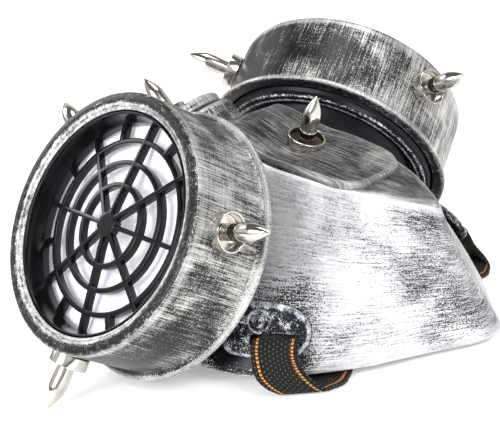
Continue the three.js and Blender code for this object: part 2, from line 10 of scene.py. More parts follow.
import bmesh
import bpy
import numpy as np
from mathutils import Matrix, Vector


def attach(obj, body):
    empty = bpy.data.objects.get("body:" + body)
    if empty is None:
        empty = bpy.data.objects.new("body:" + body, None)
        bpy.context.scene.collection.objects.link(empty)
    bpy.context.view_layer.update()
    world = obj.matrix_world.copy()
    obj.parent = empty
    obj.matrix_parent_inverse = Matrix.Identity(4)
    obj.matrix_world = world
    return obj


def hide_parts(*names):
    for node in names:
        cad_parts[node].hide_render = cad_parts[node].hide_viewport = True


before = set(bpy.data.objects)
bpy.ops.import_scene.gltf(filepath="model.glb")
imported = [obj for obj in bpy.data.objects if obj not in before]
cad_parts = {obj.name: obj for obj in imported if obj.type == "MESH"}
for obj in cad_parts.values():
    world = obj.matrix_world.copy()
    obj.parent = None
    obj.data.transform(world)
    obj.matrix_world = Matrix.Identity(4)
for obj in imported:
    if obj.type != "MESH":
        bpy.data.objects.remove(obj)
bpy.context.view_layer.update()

# Placing the mask's own frame on the table
METRE = 0.001
REST_TILT = math.radians(11)
TABLE_SHIFT = np.array([0.0, -26.1200, 61.3039])
TILT = np.array(
    [
        [1, 0, 0],
        [0, math.cos(REST_TILT), -math.sin(REST_TILT)],
        [0, math.sin(REST_TILT), math.cos(REST_TILT)],
    ]
)
X_AXIS, Y_AXIS = np.array([1.0, 0, 0]), np.array([0, 1.0, 0])

# Face shell
WALL = 2.4
CHEEK, NOSE, CHIN, RIDGE, DEPTH, RIDGE_WIDTH = 62.8, 87.2, 47.5, 11.6, 55.5, 20.0
RIM_SLOPE = math.tan(math.radians(13.9))
BULGE = 4.5
# One row for each section of the shell, from the nose ridge to the chin, as shares of the sizes
# above: spine y, spine z, crease x, crease y, crease z, rim x, rim y, bulge.
SECTIONS = np.array(
    [
        [0.908, -0.515, 0.000, 0.911, -0.559, 0.000, 1.000, -0.40],
        [0.905, -0.512, 0.060, 0.906, -0.551, 0.041, 0.998, -0.40],
        [0.899, -0.506, 0.110, 0.899, -0.541, 0.081, 0.991, -0.36],
        [0.890, -0.499, 0.160, 0.889, -0.526, 0.121, 0.977, -0.32],
        [0.876, -0.486, 0.225, 0.872, -0.505, 0.169, 0.952, -0.26],
        [0.853, -0.467, 0.305, 0.849, -0.477, 0.232, 0.915, -0.18],
        [0.820, -0.440, 0.400, 0.818, -0.447, 0.312, 0.869, -0.08],
        [0.780, -0.404, 0.510, 0.780, -0.409, 0.398, 0.823, 0.04],
        [0.728, -0.357, 0.645, 0.729, -0.362, 0.494, 0.773, 0.18],
        [0.663, -0.319, 0.780, 0.665, -0.312, 0.597, 0.719, 0.32],
        [0.585, -0.263, 0.910, 0.591, -0.252, 0.701, 0.648, 0.48],
        [0.499, -0.189, 0.970, 0.505, -0.180, 0.804, 0.568, 0.62],
        [0.413, -0.121, 1.000, 0.419, -0.115, 0.908, 0.464, 0.70],
        [0.333, -0.070, 1.000, 0.338, -0.058, 0.979, 0.344, 0.70],
        [0.258, 0.155, 0.980, 0.258, 0.103, 1.000, 0.218, 0.60],
        [0.189, 0.621, 0.950, 0.183, 0.543, 0.995, 0.069, 0.50],
        [0.126, 0.888, 0.920, 0.115, 0.793, 0.947, -0.168, 0.50],
        [0.057, 1.000, 0.860, 0.034, 0.879, 0.844, -0.463, 0.55],
        [-0.063, 0.974, 0.760, -0.105, 0.828, 0.669, -0.716, 0.65],
        [-0.274, 0.603, 0.620, -0.316, 0.474, 0.446, -0.884, 0.75],
        [-0.547, 0.043, 0.380, -0.600, -0.018, 0.223, -0.968, 0.85],
        [-0.800, -0.108, 0.000, -0.853, -0.162, 0.000, -1.000, 0.85],
    ]
)
PANEL_RISE, PANEL_INSET, PANEL_START, PANEL_END, PANEL_ROUND = 2.2, 0.7, 9.0, 60.5, 13.0

# Filter drums
DRUM_R, DRUM_DEPTH, DRUM_WALL, DRUM_SPREAD = 45.0, 33.0, 2.2, 76.3
DRUM_SPLAY = math.radians(55.7)
FLANGE_R, FLANGE = 47.5, 1.6
MOUTH_R, MOUTH_EDGE, LIP_ROUND, LIP = 38.7, 1.8, 2.5, 3.5
GRILLE_DEPTH, GRILLE_DOME, GRILLE_THICK, GRILLE_R, HUB_R = 8.5, 4.5, 3.0, 36.2, 4.5
SPOKE_TURN = math.radians(25.6)
GRILLE_RINGS = (14.0, 22.0, 30.0)
RING_WIDTH, SPOKE_WIDTH, LONG_SPOKES = 1.8, 1.7, 8
SEAT_R = 42.2
PAD_TOP, PAD_THICK = -11.8, 3.0
BEAD_R, BEAD_HEIGHT, BEAD_WIDTH = 41.3, 3.6, 5.5
NECK_R, NECK_WALL, NECK_END = 31.0, 5.0, 63.0

# Spikes and cups
SPIKE, SPIKE_R, SPIKE_CONE = 20.8, 3.25, 8.2
CUP_R, CUP, CUP_WALL = 6.8, 4.5, 0.7
DRUM_SPIKE_DEPTH = 13.0
DRUM_SPIKES = {
    "left": (("nose", 354), ("chin", 128), ("low", 245)),
    "right": (("nose", 9), ("chin", 130), ("low", 245)),
}
STRIP_SPIKE_PLACE, STRIP_SPIKE_LEAN, STRIP_SPIKE_LIFT = 29.9, math.radians(35), 1.8
VALVE_LEAN, VALVE_PLACE, VALVE_HEIGHT = math.radians(26.5), -25.0, 14.7

# Strap tab and strap
TAB_SECTION, TAB_DROP = 12.1, 0.84
TAB_THICK, TAB_UPPER, TAB_LOWER, TAB_BACK, TAB_REACH = 2.2, 6.8, 11.0, 11.6, 17.6
SLOT_MIDDLE, SLOT_HEIGHT, SLOT_SHIFT = -6.0, 3.8, 6.0
STUD_R, STUD = 2.8, 1.2
STRAP_WIDTH, STRAP_THICK, STRAP_RISE, GAP = 16.0, 1.4, 0.5, 0.3
STRAP_ROOM = STRAP_THICK + 2 * GAP + STRAP_RISE


# Camera
def to_row(points):
    """Millimetres in the mask's frame to metres in the row frame: turned by the tilt, then shifted."""
    return (np.asarray(points, float) @ TILT.T + TABLE_SHIFT) * METRE


CAMERA_PLACE = (405.0, 362.5, 82.7)
CAMERA_RIGHT = (-0.597, 0.747, -0.293)
CAMERA_UP = (-0.338, 0.097, 0.936)
FOCAL_MM = 108.0


def make_camera():
    """The camera at the photograph's place and angle, as fitted to the rims of the two drums."""
    data = bpy.data.cameras.new("photo_camera")
    data.sensor_width, data.lens = 36.0, FOCAL_MM
    data.clip_start, data.clip_end = 0.01, 50
    camera = bpy.data.objects.new("photo_camera", data)
    bpy.context.scene.collection.objects.link(camera)
    right = TILT @ np.array(CAMERA_RIGHT)
    right /= np.linalg.norm(right)
    up = TILT @ np.array(CAMERA_UP)
    up -= right * (up @ right)
    up /= np.linalg.norm(up)
    back = np.cross(right, up)
    pose = np.eye(4)
    pose[:3, 0], pose[:3, 1], pose[:3, 2] = right, up, back
    pose[:3, 3] = to_row(CAMERA_PLACE)
    camera.matrix_world = Matrix(pose.tolist())
    bpy.context.scene.camera = camera


make_camera()


# Arrays and meshes
def unit(vectors):
    """Vectors along the last axis, each divided by its length."""
    length = np.linalg.norm(vectors, axis=-1, keepdims=True)
    return vectors / np.maximum(length, 1e-9)


def smoothstep(low, high, value):
    """3t^2 - 2t^3 of the share t of the way from low to high."""
    t = np.clip((value - low) / (high - low), 0, 1)
    return t * t * (3 - 2 * t)


def axes_along(origin, axis, up):
    """Origin and three axes: the third along axis, the first square to it and to up."""
    third = unit(np.asarray(axis, float))
    first = unit(np.cross(up, third))
    return np.asarray(origin, float), np.stack([first, np.cross(third, first), third])


def in_frame(local, axes):
    """Points given along a frame's three axes, in the mask's frame."""
    origin, directions = axes
    return origin + np.asarray(local) @ directions


def curve_points(stations, share):
    """A centripetal Catmull-Rom curve through the stations: between two of them a cubic whose end
    slopes come from the neighbours, weighted by the square roots of the distances."""
    p = np.asarray(stations, float)
    p = np.vstack([2 * p[0] - p[1], p, 2 * p[-1] - p[-2]])
    place = np.clip(np.asarray(share, float), 0, 1) * (len(p) - 3)
    k = np.minimum(place.astype(int), len(p) - 4)
    t = (place - k)[:, None]
    a, b, c, d = p[k], p[k + 1], p[k + 2], p[k + 3]
    pairs = ((a, b), (b, c), (c, d))
    step = [np.maximum(np.sqrt(np.linalg.norm(v - u, axis=1)), 1e-4)[:, None] for u, v in pairs]
    slope_b = ((b - a) / step[0] - (c - a) / (step[0] + step[1]) + (c - b) / step[1]) * step[1]
    slope_c = ((c - b) / step[1] - (d - b) / (step[1] + step[2]) + (d - c) / step[2]) * step[1]
    square = 3 * (c - b) - 2 * slope_b - slope_c
    cube = 2 * (b - c) + slope_b + slope_c
    return b + slope_b * t + square * t**2 + cube * t**3


def grid_faces(rows, columns, close_rows=False, close_columns=False):
    """Four-sided faces of a grid of points numbered row by row."""
    r = np.arange(rows if close_rows else rows - 1)
    c = np.arange(columns if close_columns else columns - 1)
    r, c = (x.ravel() for x in np.meshgrid(r, c, indexing="ij"))
    r2, c2 = (r + 1) % rows, (c + 1) % columns
    return np.stack([r * columns + c, r2 * columns + c, r2 * columns + c2, r * columns + c2], 1)


class Part:
    """Points in the mask's frame, faces, and for each point its pattern place, wear and painted shade."""

    def __init__(self, points, faces, lay=None, wear_and_shade=None):
        self.points = np.asarray(points, float).reshape(-1, 3)
        self.faces = faces
        count = len(self.points)
        self.lay = self.points if lay is None else np.asarray(lay, float).reshape(-1, 3)
        self.wear_and_shade = np.zeros(count) if wear_and_shade is None else np.broadcast_to(wear_and_shade, count).ravel()

    def joined(self, *others):
        """This part and others as one, each keeping its own faces."""
        parts = [self, *others]
        starts = np.cumsum([0] + [len(p.points) for p in parts[:-1]])
        faces = np.vstack([p.faces + s for p, s in zip(parts, starts)])
        return Part(
            np.vstack([p.points for p in parts]),
            faces,
            np.vstack([p.lay for p in parts]),
            np.concatenate([p.wear_and_shade for p in parts]),
        )


LAY_SCALE = 0.01  # pattern coordinates run in tenths of a metre


def make_piece(name, part, materials, replaces=(), face_material=None, sharp=50):
    """Puts a part into a mesh object that rides on the mask and stands for its solids."""
    mesh = bpy.data.meshes.new(name)
    mesh.from_pydata(to_row(part.points).tolist(), [], part.faces.tolist())
    mesh.attributes.new("lay", "FLOAT_VECTOR", "POINT").data.foreach_set(
        "vector", (part.lay * LAY_SCALE).astype(np.float32).ravel()
    )
    mesh.attributes.new("wear_and_shade", "FLOAT", "POINT").data.foreach_set("value", part.wear_and_shade.astype(np.float32))
    for material in materials if isinstance(materials, (list, tuple)) else [materials]:
        mesh.materials.append(material)
    if face_material is not None:
        mesh.polygons.foreach_set("material_index", face_material.astype(np.int32))
    work = bmesh.new()
    work.from_mesh(mesh)
    bmesh.ops.remove_doubles(work, verts=work.verts, dist=2e-6)
    bmesh.ops.dissolve_degenerate(work, edges=work.edges, dist=1e-7)
    bmesh.ops.recalc_face_normals(work, faces=work.faces)
    work.to_mesh(mesh)
    work.free()
    mesh.shade_smooth()
    mesh.set_sharp_from_angle(angle=math.radians(sharp))
    obj = bpy.data.objects.new(name, mesh)
    bpy.context.scene.collection.objects.link(obj)
    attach(obj, "root")
    if replaces:
        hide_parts(*replaces)
    return obj


def rounded_line(corners, closed=False, step=1.4, arc=6):
    """A line through corners given as (radius, height, rounding, wear). Each corner is a quadratic
    curve that starts and ends its rounding away, straights are cut into short steps, and wear
    falls off with distance from the worn corners. Returns the points and their wear."""
    table = np.asarray(corners, float)
    count = len(table)
    line = []
    for k in range(count):
        here = table[k, :2]
        before, after = table[k - 1, :2] - here, table[(k + 1) % count, :2] - here
        ends = not closed and k in (0, count - 1)
        if ends or table[k, 2] <= 0:
            line.append(here[None])
            continue
        reach = min(table[k, 2], 0.48 * np.linalg.norm(before), 0.48 * np.linalg.norm(after))
        start, stop = here + unit(before) * reach, here + unit(after) * reach
        t = np.linspace(0, 1, arc)[:, None]
        line.append((1 - t) ** 2 * start + 2 * t * (1 - t) * here + t**2 * stop)
    line = np.vstack(line)
    if closed:
        line = np.vstack([line, line[:1]])
    pieces = []
    for a, b in zip(line[:-1], line[1:]):
        cuts = max(1, math.ceil(np.linalg.norm(b - a) / step))
        pieces.append(a + (b - a) * (np.arange(cuts) / cuts)[:, None])
    if not closed:
        pieces.append(line[-1:])
    points = np.vstack(pieces)
    distance = np.linalg.norm(points[:, None] - table[None, :, :2], axis=2)
    wear_and_shade = (table[None, :, 3] * np.exp(-((distance / 0.75) ** 2))).max(1)
    return points, wear_and_shade


def turned(corners, sides, axes, closed=False, step=1.4, arc=6):
    """A profile carried round a frame's third axis. The pattern runs round the axis and along the
    profile, and wear follows the profile's corners."""
    profile, wear_and_shade = rounded_line(corners, closed, step, arc)
    angle = np.linspace(0, 2 * np.pi, sides, endpoint=False)
    r, h = profile[:, 0][:, None], profile[:, 1][:, None]
    local = np.stack([r * np.cos(angle), r * np.sin(angle), np.broadcast_to(h, (len(profile), sides))], 2)
    run = np.concatenate([[0], np.cumsum(np.linalg.norm(np.diff(profile, axis=0), axis=1))])
    lay = local.copy()
    lay[:, :, 2] = run[:, None]
    faces = grid_faces(len(profile), sides, closed, True)
    return Part(in_frame(local, axes), faces, lay, np.repeat(wear_and_shade, sides))


# Shader node groups
def group_with(name, inputs, outputs):
    """An empty node group with named sockets, and its input and output nodes."""
    group = bpy.data.node_groups.new(name, "ShaderNodeTree")
    for label, kind, value in inputs:
        socket = group.interface.new_socket(label, in_out="INPUT", socket_type=kind)
        socket.default_value = value
    for label, kind in outputs:
        group.interface.new_socket(label, in_out="OUTPUT", socket_type=kind)
    return group, group.nodes.new("NodeGroupInput"), group.nodes.new("NodeGroupOutput")


def plug(tree, target, source):
    """Links a socket, or sets its value, whichever source is."""
    if isinstance(source, bpy.types.NodeSocket):
        tree.links.new(source, target)
    else:
        target.default_value = source


def math_node(tree, operation, *values, clamp=False):
    node = tree.nodes.new("ShaderNodeMath")
    node.operation, node.use_clamp = operation, clamp
    for socket, value in zip(node.inputs, values):
        plug(tree, socket, value)
    return node.outputs[0]


def vector_node(tree, operation, *values):
    node = tree.nodes.new("ShaderNodeVectorMath")
    node.operation = operation
    for socket, value in zip(node.inputs, values):
        plug(tree, socket, value)
    return node.outputs[0]


def noise(tree, vector, scale, detail=3.0, roughness=0.55, distortion=0.0):
    node = tree.nodes.new("ShaderNodeTexNoise")
    settings = {"Vector": vector, "Scale": scale, "Detail": detail}
    settings |= {"Roughness": roughness, "Distortion": distortion}
    for label, value in settings.items():
        plug(tree, node.inputs[label], value)
    return node.outputs["Fac"]


def ramp(tree, value, low, high, to_low=0.0, to_high=1.0, smooth=True):
    node = tree.nodes.new("ShaderNodeMapRange")
    node.interpolation_type = "SMOOTHSTEP" if smooth else "LINEAR"
    settings = {"Value": value, "From Min": low, "From Max": high, "To Min": to_low, "To Max": to_high}
    for label, given in settings.items():
        plug(tree, node.inputs[label], given)
    return node.outputs["Result"]


def mixed(tree, share, a, b):
    """A colour part of the way from a to b."""
    node = tree.nodes.new("ShaderNodeMix")
    node.data_type = "RGBA"
    plug(tree, node.inputs["Factor"], share)
    plug(tree, node.inputs[6], a)
    plug(tree, node.inputs[7], b)
    return node.outputs[2]


def dry_brush_group():
    """Paint left by a nearly dry brush: long streaks one way, fainter ones across them, broad
    patches, fine grain, more paint on worn edges and less where shade is painted in. Gives the
    paint's mask and its tone."""
    group, entry, exit_ = group_with(
        "dry_brush",
        [
            ("Place", "NodeSocketVector", (0, 0, 0)),
            ("Streak Scale", "NodeSocketVector", (60, 60, 6)),
            ("Cross Scale", "NodeSocketVector", (6, 6, 60)),
            ("Cross Share", "NodeSocketFloat", 0.3),
            ("Coverage", "NodeSocketFloat", 0.5),
            ("Softness", "NodeSocketFloat", 0.12),
            ("Patch Scale", "NodeSocketFloat", 4.0),
            ("Patches", "NodeSocketFloat", 0.5),
            ("Grain Scale", "NodeSocketFloat", 180.0),
            ("Grain", "NodeSocketFloat", 0.5),
            # Wear carries real edge wear and also painted shade: where it is negative it takes paint away.
            ("Wear", "NodeSocketFloat", 0.0),
            ("Wear Strength", "NodeSocketFloat", 0.6),
        ],
        [("Paint", "NodeSocketFloat"), ("Tone", "NodeSocketFloat")],
    )
    t, o = group, entry.outputs
    along = noise(t, vector_node(t, "MULTIPLY", o["Place"], o["Streak Scale"]), 1.0, 6.0, 0.68, 0.25)
    across = noise(t, vector_node(t, "MULTIPLY", o["Place"], o["Cross Scale"]), 1.0, 5.0, 0.66, 0.3)
    patch = noise(t, o["Place"], o["Patch Scale"], 2.0, 0.5, 0.4)
    grain = noise(t, o["Place"], o["Grain Scale"], 2.0, 0.6)
    main = math_node(t, "MULTIPLY", along, math_node(t, "SUBTRACT", 1.0, o["Cross Share"]))
    crossing = math_node(t, "MULTIPLY", across, o["Cross Share"])
    streak = math_node(t, "ADD", main, crossing)
    value = math_node(t, "MULTIPLY", math_node(t, "SUBTRACT", streak, 0.5), 2.4)
    for signal, amount in ((patch, o["Patches"]), (grain, o["Grain"])):
        centred = math_node(t, "SUBTRACT", signal, 0.5)
        value = math_node(t, "ADD", value, math_node(t, "MULTIPLY", centred, amount))
    value = math_node(t, "ADD", value, math_node(t, "SUBTRACT", o["Coverage"], 0.5))
    value = math_node(t, "ADD", value, math_node(t, "MULTIPLY", o["Wear"], o["Wear Strength"]))
    paint = ramp(t, value, math_node(t, "MULTIPLY", o["Softness"], -1.0), o["Softness"])
    plug(t, exit_.inputs["Paint"], paint)
    tone = math_node(t, "ADD", streak, math_node(t, "MULTIPLY", patch, 0.4))
    plug(t, exit_.inputs["Tone"], ramp(t, tone, 0.5, 0.95))
    return group


def moulded_grain_group():
    """The fine grain of moulded plastic or metal: small bumps and softer smears of handling."""
    group, entry, exit_ = group_with(
        "moulded_grain",
        [
            ("Place", "NodeSocketVector", (0, 0, 0)),
            ("Grain Scale", "NodeSocketFloat", 900.0),
            ("Smear Scale", "NodeSocketFloat", 40.0),
        ],
        [("Grain", "NodeSocketFloat"), ("Smear", "NodeSocketFloat")],
    )
    t, o = group, entry.outputs
    plug(t, exit_.inputs["Grain"], noise(t, o["Place"], o["Grain Scale"], 2.0))
    smear = noise(t, o["Place"], o["Smear Scale"], 4.0, 0.6, 0.5)
    plug(t, exit_.inputs["Smear"], ramp(t, smear, 0.35, 0.68))
    return group


DRY_BRUSH = dry_brush_group()
MOULDED_GRAIN = moulded_grain_group()


def new_material(name):
    """A material with a Principled BSDF, and the nodes it is built on."""
    material = bpy.data.materials.new(name)
    material.use_nodes = True
    tree = material.node_tree
    return material, tree, tree.nodes["Principled BSDF"]


def placed(tree, group, **values):
    node = tree.nodes.new("ShaderNodeGroup")
    node.node_tree = group
    for label, value in values.items():
        plug(tree, node.inputs[label.replace("_", " ")], value)
    return node.outputs


def attribute(tree, name, output="Vector"):
    node = tree.nodes.new("ShaderNodeAttribute")
    node.attribute_type, node.attribute_name = "GEOMETRY", name
    return node.outputs[output]


def object_place(tree):
    return tree.nodes.new("ShaderNodeTexCoord").outputs["Object"]


def bumped(tree, shader, height, strength, distance):
    node = tree.nodes.new("ShaderNodeBump")
    node.inputs["Strength"].default_value = strength
    node.inputs["Distance"].default_value = distance
    plug(tree, node.inputs["Height"], height)
    plug(tree, shader.inputs["Normal"], node.outputs["Normal"])


BLACK = (0.006, 0.006, 0.007, 1)


def brushed_silver(
    name, streak, cross, dull, bright, metal, place="lay", under=BLACK, gloss=0.25, **brush
):  # fmt: skip
    """Black plastic with silver paint dragged over it by a dry brush."""
    material, tree, shader = new_material(name)
    shader.inputs["Specular IOR Level"].default_value = gloss
    where = attribute(tree, "lay") if place == "lay" else object_place(tree)
    # wear_and_shade: real edge wear, plus painted shade on the shell's nose end and on the drums' walls.
    wear_and_shade = attribute(tree, "wear_and_shade", "Fac")
    out = placed(tree, DRY_BRUSH, Place=where, Streak_Scale=streak, Cross_Scale=cross, Wear=wear_and_shade, **brush)
    silver = mixed(tree, out["Tone"], dull, bright)
    plug(tree, shader.inputs["Base Color"], mixed(tree, out["Paint"], under, silver))
    plug(tree, shader.inputs["Metallic"], math_node(tree, "MULTIPLY", out["Paint"], metal))
    plug(tree, shader.inputs["Roughness"], ramp(tree, out["Paint"], 0.0, 1.0, 0.34, 0.46, smooth=False))
    bumped(tree, shader, out["Paint"], 0.35, 0.0002)
    return material


def black_plastic(name, colour=(0.012, 0.012, 0.016, 1), low=0.2, high=0.42):
    """Moulded black plastic, paler and duller where it has been handled."""
    material, tree, shader = new_material(name)
    shader.inputs["Specular IOR Level"].default_value = 0.3
    out = placed(tree, MOULDED_GRAIN, Place=object_place(tree), Grain_Scale=1400.0, Smear_Scale=60.0)
    paler = tuple(min(1, c * 1.8) for c in colour[:3]) + (1,)
    plug(tree, shader.inputs["Base Color"], mixed(tree, out["Smear"], colour, paler))
    plug(tree, shader.inputs["Roughness"], ramp(tree, out["Smear"], 0.0, 1.0, low, high))
    bumped(tree, shader, out["Grain"], 0.12, 0.0001)
    return material


def polished_steel(name, clean, smeared, roughness):
    """Plated metal with warm reflections and faint turning marks."""
    material, tree, shader = new_material(name)
    out = placed(tree, MOULDED_GRAIN, Place=object_place(tree), Grain_Scale=2400.0, Smear_Scale=120.0)
    plug(tree, shader.inputs["Base Color"], mixed(tree, out["Smear"], clean, smeared))
    plug(tree, shader.inputs["Roughness"], ramp(tree, out["Smear"], 0.0, 1.0, roughness, 2 * roughness))
    shader.inputs["Metallic"].default_value = 1.0
    bumped(tree, shader, out["Grain"], 0.03, 0.00005)
    return material


def felt_with_painted_glow(name):
    """Pale felt: fine crossing fibres, soft lavender unevenness, and a faint painted glow."""
    material, tree, shader = new_material(name)
    where = object_place(tree)
    fibre = noise(tree, vector_node(tree, "MULTIPLY", where, (2600, 700, 2600)), 1.0, 4.0, 0.7, 1.2)
    out = placed(tree, MOULDED_GRAIN, Place=where, Grain_Scale=900.0, Smear_Scale=45.0)
    white, lavender = (0.97, 0.97, 1.0, 1), (0.84, 0.83, 0.95, 1)
    plug(tree, shader.inputs["Base Color"], mixed(tree, out["Smear"], white, lavender))
    plug(tree, shader.inputs["Roughness"], ramp(tree, fibre, 0.2, 0.8, 0.75, 0.95))
    shader.inputs["Sheen Weight"].default_value = 0.3
    # Painted glow: the felt gives off light of its own, so that it stays bright in the shade inside the
    # drum.
    shader.inputs["Emission Color"].default_value = (0.95, 0.94, 1, 1)
    shader.inputs["Emission Strength"].default_value = 0.3
    bumped(tree, shader, math_node(tree, "ADD", fibre, out["Grain"]), 0.4, 0.0003)
    return material


RIB, THREAD, LINE_PLACE, TWIST = 1.35, 1.5, 5.9, 1.15  # millimetres on the webbing


def woven_elastic(name):
    """Black elastic webbing. The pattern's first number runs along the strap and its second across
    it: rows of raised threads, small light gaps between them, and two orange lines near the edges."""
    material, tree, shader = new_material(name)
    split = tree.nodes.new("ShaderNodeSeparateXYZ")
    plug(tree, split.inputs[0], attribute(tree, "lay"))
    along = math_node(tree, "MULTIPLY", split.outputs["X"], 100.0)
    across = math_node(tree, "MULTIPLY", split.outputs["Y"], 100.0)

    def wave(value, period, shift=0.0):
        turn = math_node(tree, "MULTIPLY_ADD", value, 2 * math.pi / period, shift)
        return math_node(tree, "MULTIPLY_ADD", math_node(tree, "SINE", turn), 0.5, 0.5)

    rib = wave(across, RIB)
    row = math_node(tree, "ROUND", math_node(tree, "DIVIDE", across, RIB))
    stagger = math_node(tree, "MULTIPLY", row, math.pi)
    turn = math_node(tree, "ADD", math_node(tree, "MULTIPLY", along, 2 * math.pi / THREAD), stagger)
    thread = math_node(tree, "MULTIPLY_ADD", math_node(tree, "SINE", turn), 0.5, 0.5)
    weave = math_node(tree, "MULTIPLY", rib, math_node(tree, "MULTIPLY_ADD", thread, 0.3, 0.7))
    gaps = math_node(tree, "MULTIPLY", ramp(tree, rib, 0.18, 0.02), ramp(tree, thread, 0.8, 0.97))
    fray = noise(tree, object_place(tree), 1500.0, 3.0)
    yarn = mixed(tree, fray, (0.004, 0.004, 0.004, 1), (0.02, 0.02, 0.019, 1))
    body = mixed(tree, math_node(tree, "MULTIPLY", gaps, 0.4), yarn, (0.5, 0.52, 0.5, 1))
    from_middle = math_node(tree, "ABSOLUTE", across)
    off_line = math_node(tree, "ABSOLUTE", math_node(tree, "SUBTRACT", from_middle, LINE_PLACE))
    line = ramp(tree, off_line, 0.5, 0.34)
    twist = wave(math_node(tree, "MULTIPLY_ADD", off_line, 0.5, along), TWIST)
    orange = mixed(tree, ramp(tree, twist, 0.25, 0.75), (0.16, 0.045, 0.008, 1), (0.95, 0.42, 0.09, 1))
    plug(tree, shader.inputs["Base Color"], mixed(tree, line, body, orange))
    plug(tree, shader.inputs["Roughness"], ramp(tree, fray, 0.3, 0.7, 0.72, 0.92))
    shader.inputs["Specular IOR Level"].default_value = 0.2
    stitches = math_node(tree, "MULTIPLY", math_node(tree, "MULTIPLY", line, twist), 0.8)
    height = math_node(tree, "ADD", weave, stitches)
    bumped(tree, shader, height, 0.9, 0.0006)
    return material


SIDE_SILVER = brushed_silver(
    "side_silver", streak=(11, 170, 1), cross=(70, 70, 1), Cross_Share=0.3, Coverage=0.88, Softness=0.22,
    Patch_Scale=5.0, Patches=1.3, Grain_Scale=200.0, Grain=2.6, Wear_Strength=0.8,
    dull=(0.36, 0.36, 0.38, 1), bright=(0.88, 0.88, 0.9, 1), metal=0.55,
)  # fmt: skip
STRIP_SILVER = brushed_silver(
    "strip_silver", streak=(8, 180, 1), cross=(60, 30, 1), Cross_Share=0.15, Coverage=0.42,
    Softness=0.24, Patch_Scale=5.0, Patches=0.8, Grain_Scale=260.0, Grain=1.2, Wear_Strength=1.3,
    dull=(0.1, 0.1, 0.1, 1), bright=(0.52, 0.52, 0.5, 1), metal=0.7,
)  # fmt: skip
DRUM_SILVER = brushed_silver(
    "drum_silver", streak=(200, 200, 7), cross=(8, 8, 200), Cross_Share=0.26, Coverage=0.46, Softness=0.2,
    Patch_Scale=6.0, Patches=1.3, Grain_Scale=240.0, Grain=1.7, Wear_Strength=1.2,
    dull=(0.16, 0.16, 0.155, 1), bright=(0.85, 0.85, 0.83, 1), metal=0.7,
)  # fmt: skip
LIP_SILVER = brushed_silver(
    "lip_silver", streak=(60, 60, 60), cross=(20, 20, 120), Cross_Share=0.3, Coverage=0.02, Softness=0.22,
    Patch_Scale=6.0, Patches=0.3, Grain_Scale=380.0, Grain=2.2, Wear_Strength=1.0,
    dull=(0.3, 0.3, 0.3, 1), bright=(0.9, 0.9, 0.9, 1), metal=0.6, gloss=0.3,
)  # fmt: skip
TAB_SILVER = brushed_silver(
    "tab_silver", place="object", streak=(300, 300, 300), cross=(900, 200, 900), Cross_Share=0.3,
    Coverage=0.2, Softness=0.16, Patch_Scale=140.0, Patches=0.7, Grain_Scale=2600.0, Grain=2.2,
    Wear_Strength=0.5,
    dull=(0.2, 0.21, 0.24, 1), bright=(0.85, 0.87, 0.92, 1), metal=0.5,
    under=(0.005, 0.006, 0.01, 1), gloss=0.12,
)  # fmt: skip
BASE_BLACK = brushed_silver(
    "base_black", streak=(110, 110, 30), cross=(30, 30, 200), Cross_Share=0.3, Coverage=-0.1, Softness=0.1,
    Patch_Scale=9.0, Patches=0.6, Grain_Scale=260.0, Grain=1.0, Wear_Strength=0.75,
    dull=(0.3, 0.31, 0.34, 1), bright=(0.8, 0.82, 0.86, 1), metal=0.5,
    under=(0.004, 0.005, 0.007, 1), gloss=0.2,
)  # fmt: skip
INSIDE_BLACK = black_plastic("inside_black", low=0.35, high=0.5)
GRILLE_BLACK = black_plastic("grille_black", (0.004, 0.004, 0.005, 1), 0.12, 0.3)
STEEL = polished_steel("polished_steel", (0.66, 0.64, 0.6, 1), (0.5, 0.47, 0.43, 1), 0.1)
CUP_INSIDE = polished_steel("cup_inside", (0.16, 0.13, 0.1, 1), (0.08, 0.065, 0.05, 1), 0.25)
FELT_WITH_PAINTED_GLOW = felt_with_painted_glow("felt_with_painted_glow")
ELASTIC = woven_elastic("woven_elastic")


# Face shell
def scaled(shares, low, high):
    """Shares of the lower size where they are negative, and of the upper one elsewhere."""
    return shares * np.where(shares < 0, low, high)


SPINE_Y, SPINE_Z, CREASE_X, CREASE_Y, CREASE_Z, RIM_X, RIM_Y, BULGE_SHARE = SECTIONS.T
SPINE = np.stack([0 * SPINE_Y, scaled(SPINE_Y, CHIN, NOSE), scaled(SPINE_Z, DEPTH, RIDGE)], 1)
CREASE = np.stack(
    [CREASE_X * RIDGE_WIDTH, scaled(CREASE_Y, CHIN, NOSE), scaled(CREASE_Z, DEPTH, RIDGE)], 1
)  # fmt: skip
RIM = np.stack([RIM_X * CHEEK, scaled(RIM_Y, CHIN, NOSE), 0 * RIM_X], 1)
RIM[:, 2] = -DEPTH - RIM[:, 1] * RIM_SLOPE


def section_lines(share):
    """Spine, crease, rim, outward direction and bulge of the sections at given shares of the way
    from nose to chin."""
    spine, crease, rim = (curve_points(c, share) for c in (SPINE, CREASE, RIM))
    along = curve_points(RIM, share + 1e-3) - curve_points(RIM, share - 1e-3)
    outward = unit(np.cross(along, rim - crease))
    bulge = BULGE * np.interp(share * (len(SECTIONS) - 1), np.arange(len(SECTIONS)), BULGE_SHARE)
    return spine, crease, rim, outward, bulge


def bulged(crease, rim, outward, bulge, down):
    """Points on the sides at shares d of the way down: crease + (rim - crease) d
    + outward 4 bulge d (1 - d)."""
    d = down[:, :, None]
    swell = bulge[:, None, None] * 4 * d * (1 - d)
    return crease[:, None] + (rim - crease)[:, None] * d + outward[:, None] * swell


def side_points(share, down):
    """Points on the bulged side, from the crease (0) to the rim (1)."""
    return bulged(*section_lines(np.atleast_1d(share))[1:], np.atleast_1d(down)[None])


STRIP_COLUMNS, CORNER_COLUMNS, SIDE_COLUMNS, SHELL_ROWS = 12, 6, 34, 281
CREASE_ROUND = 2.6


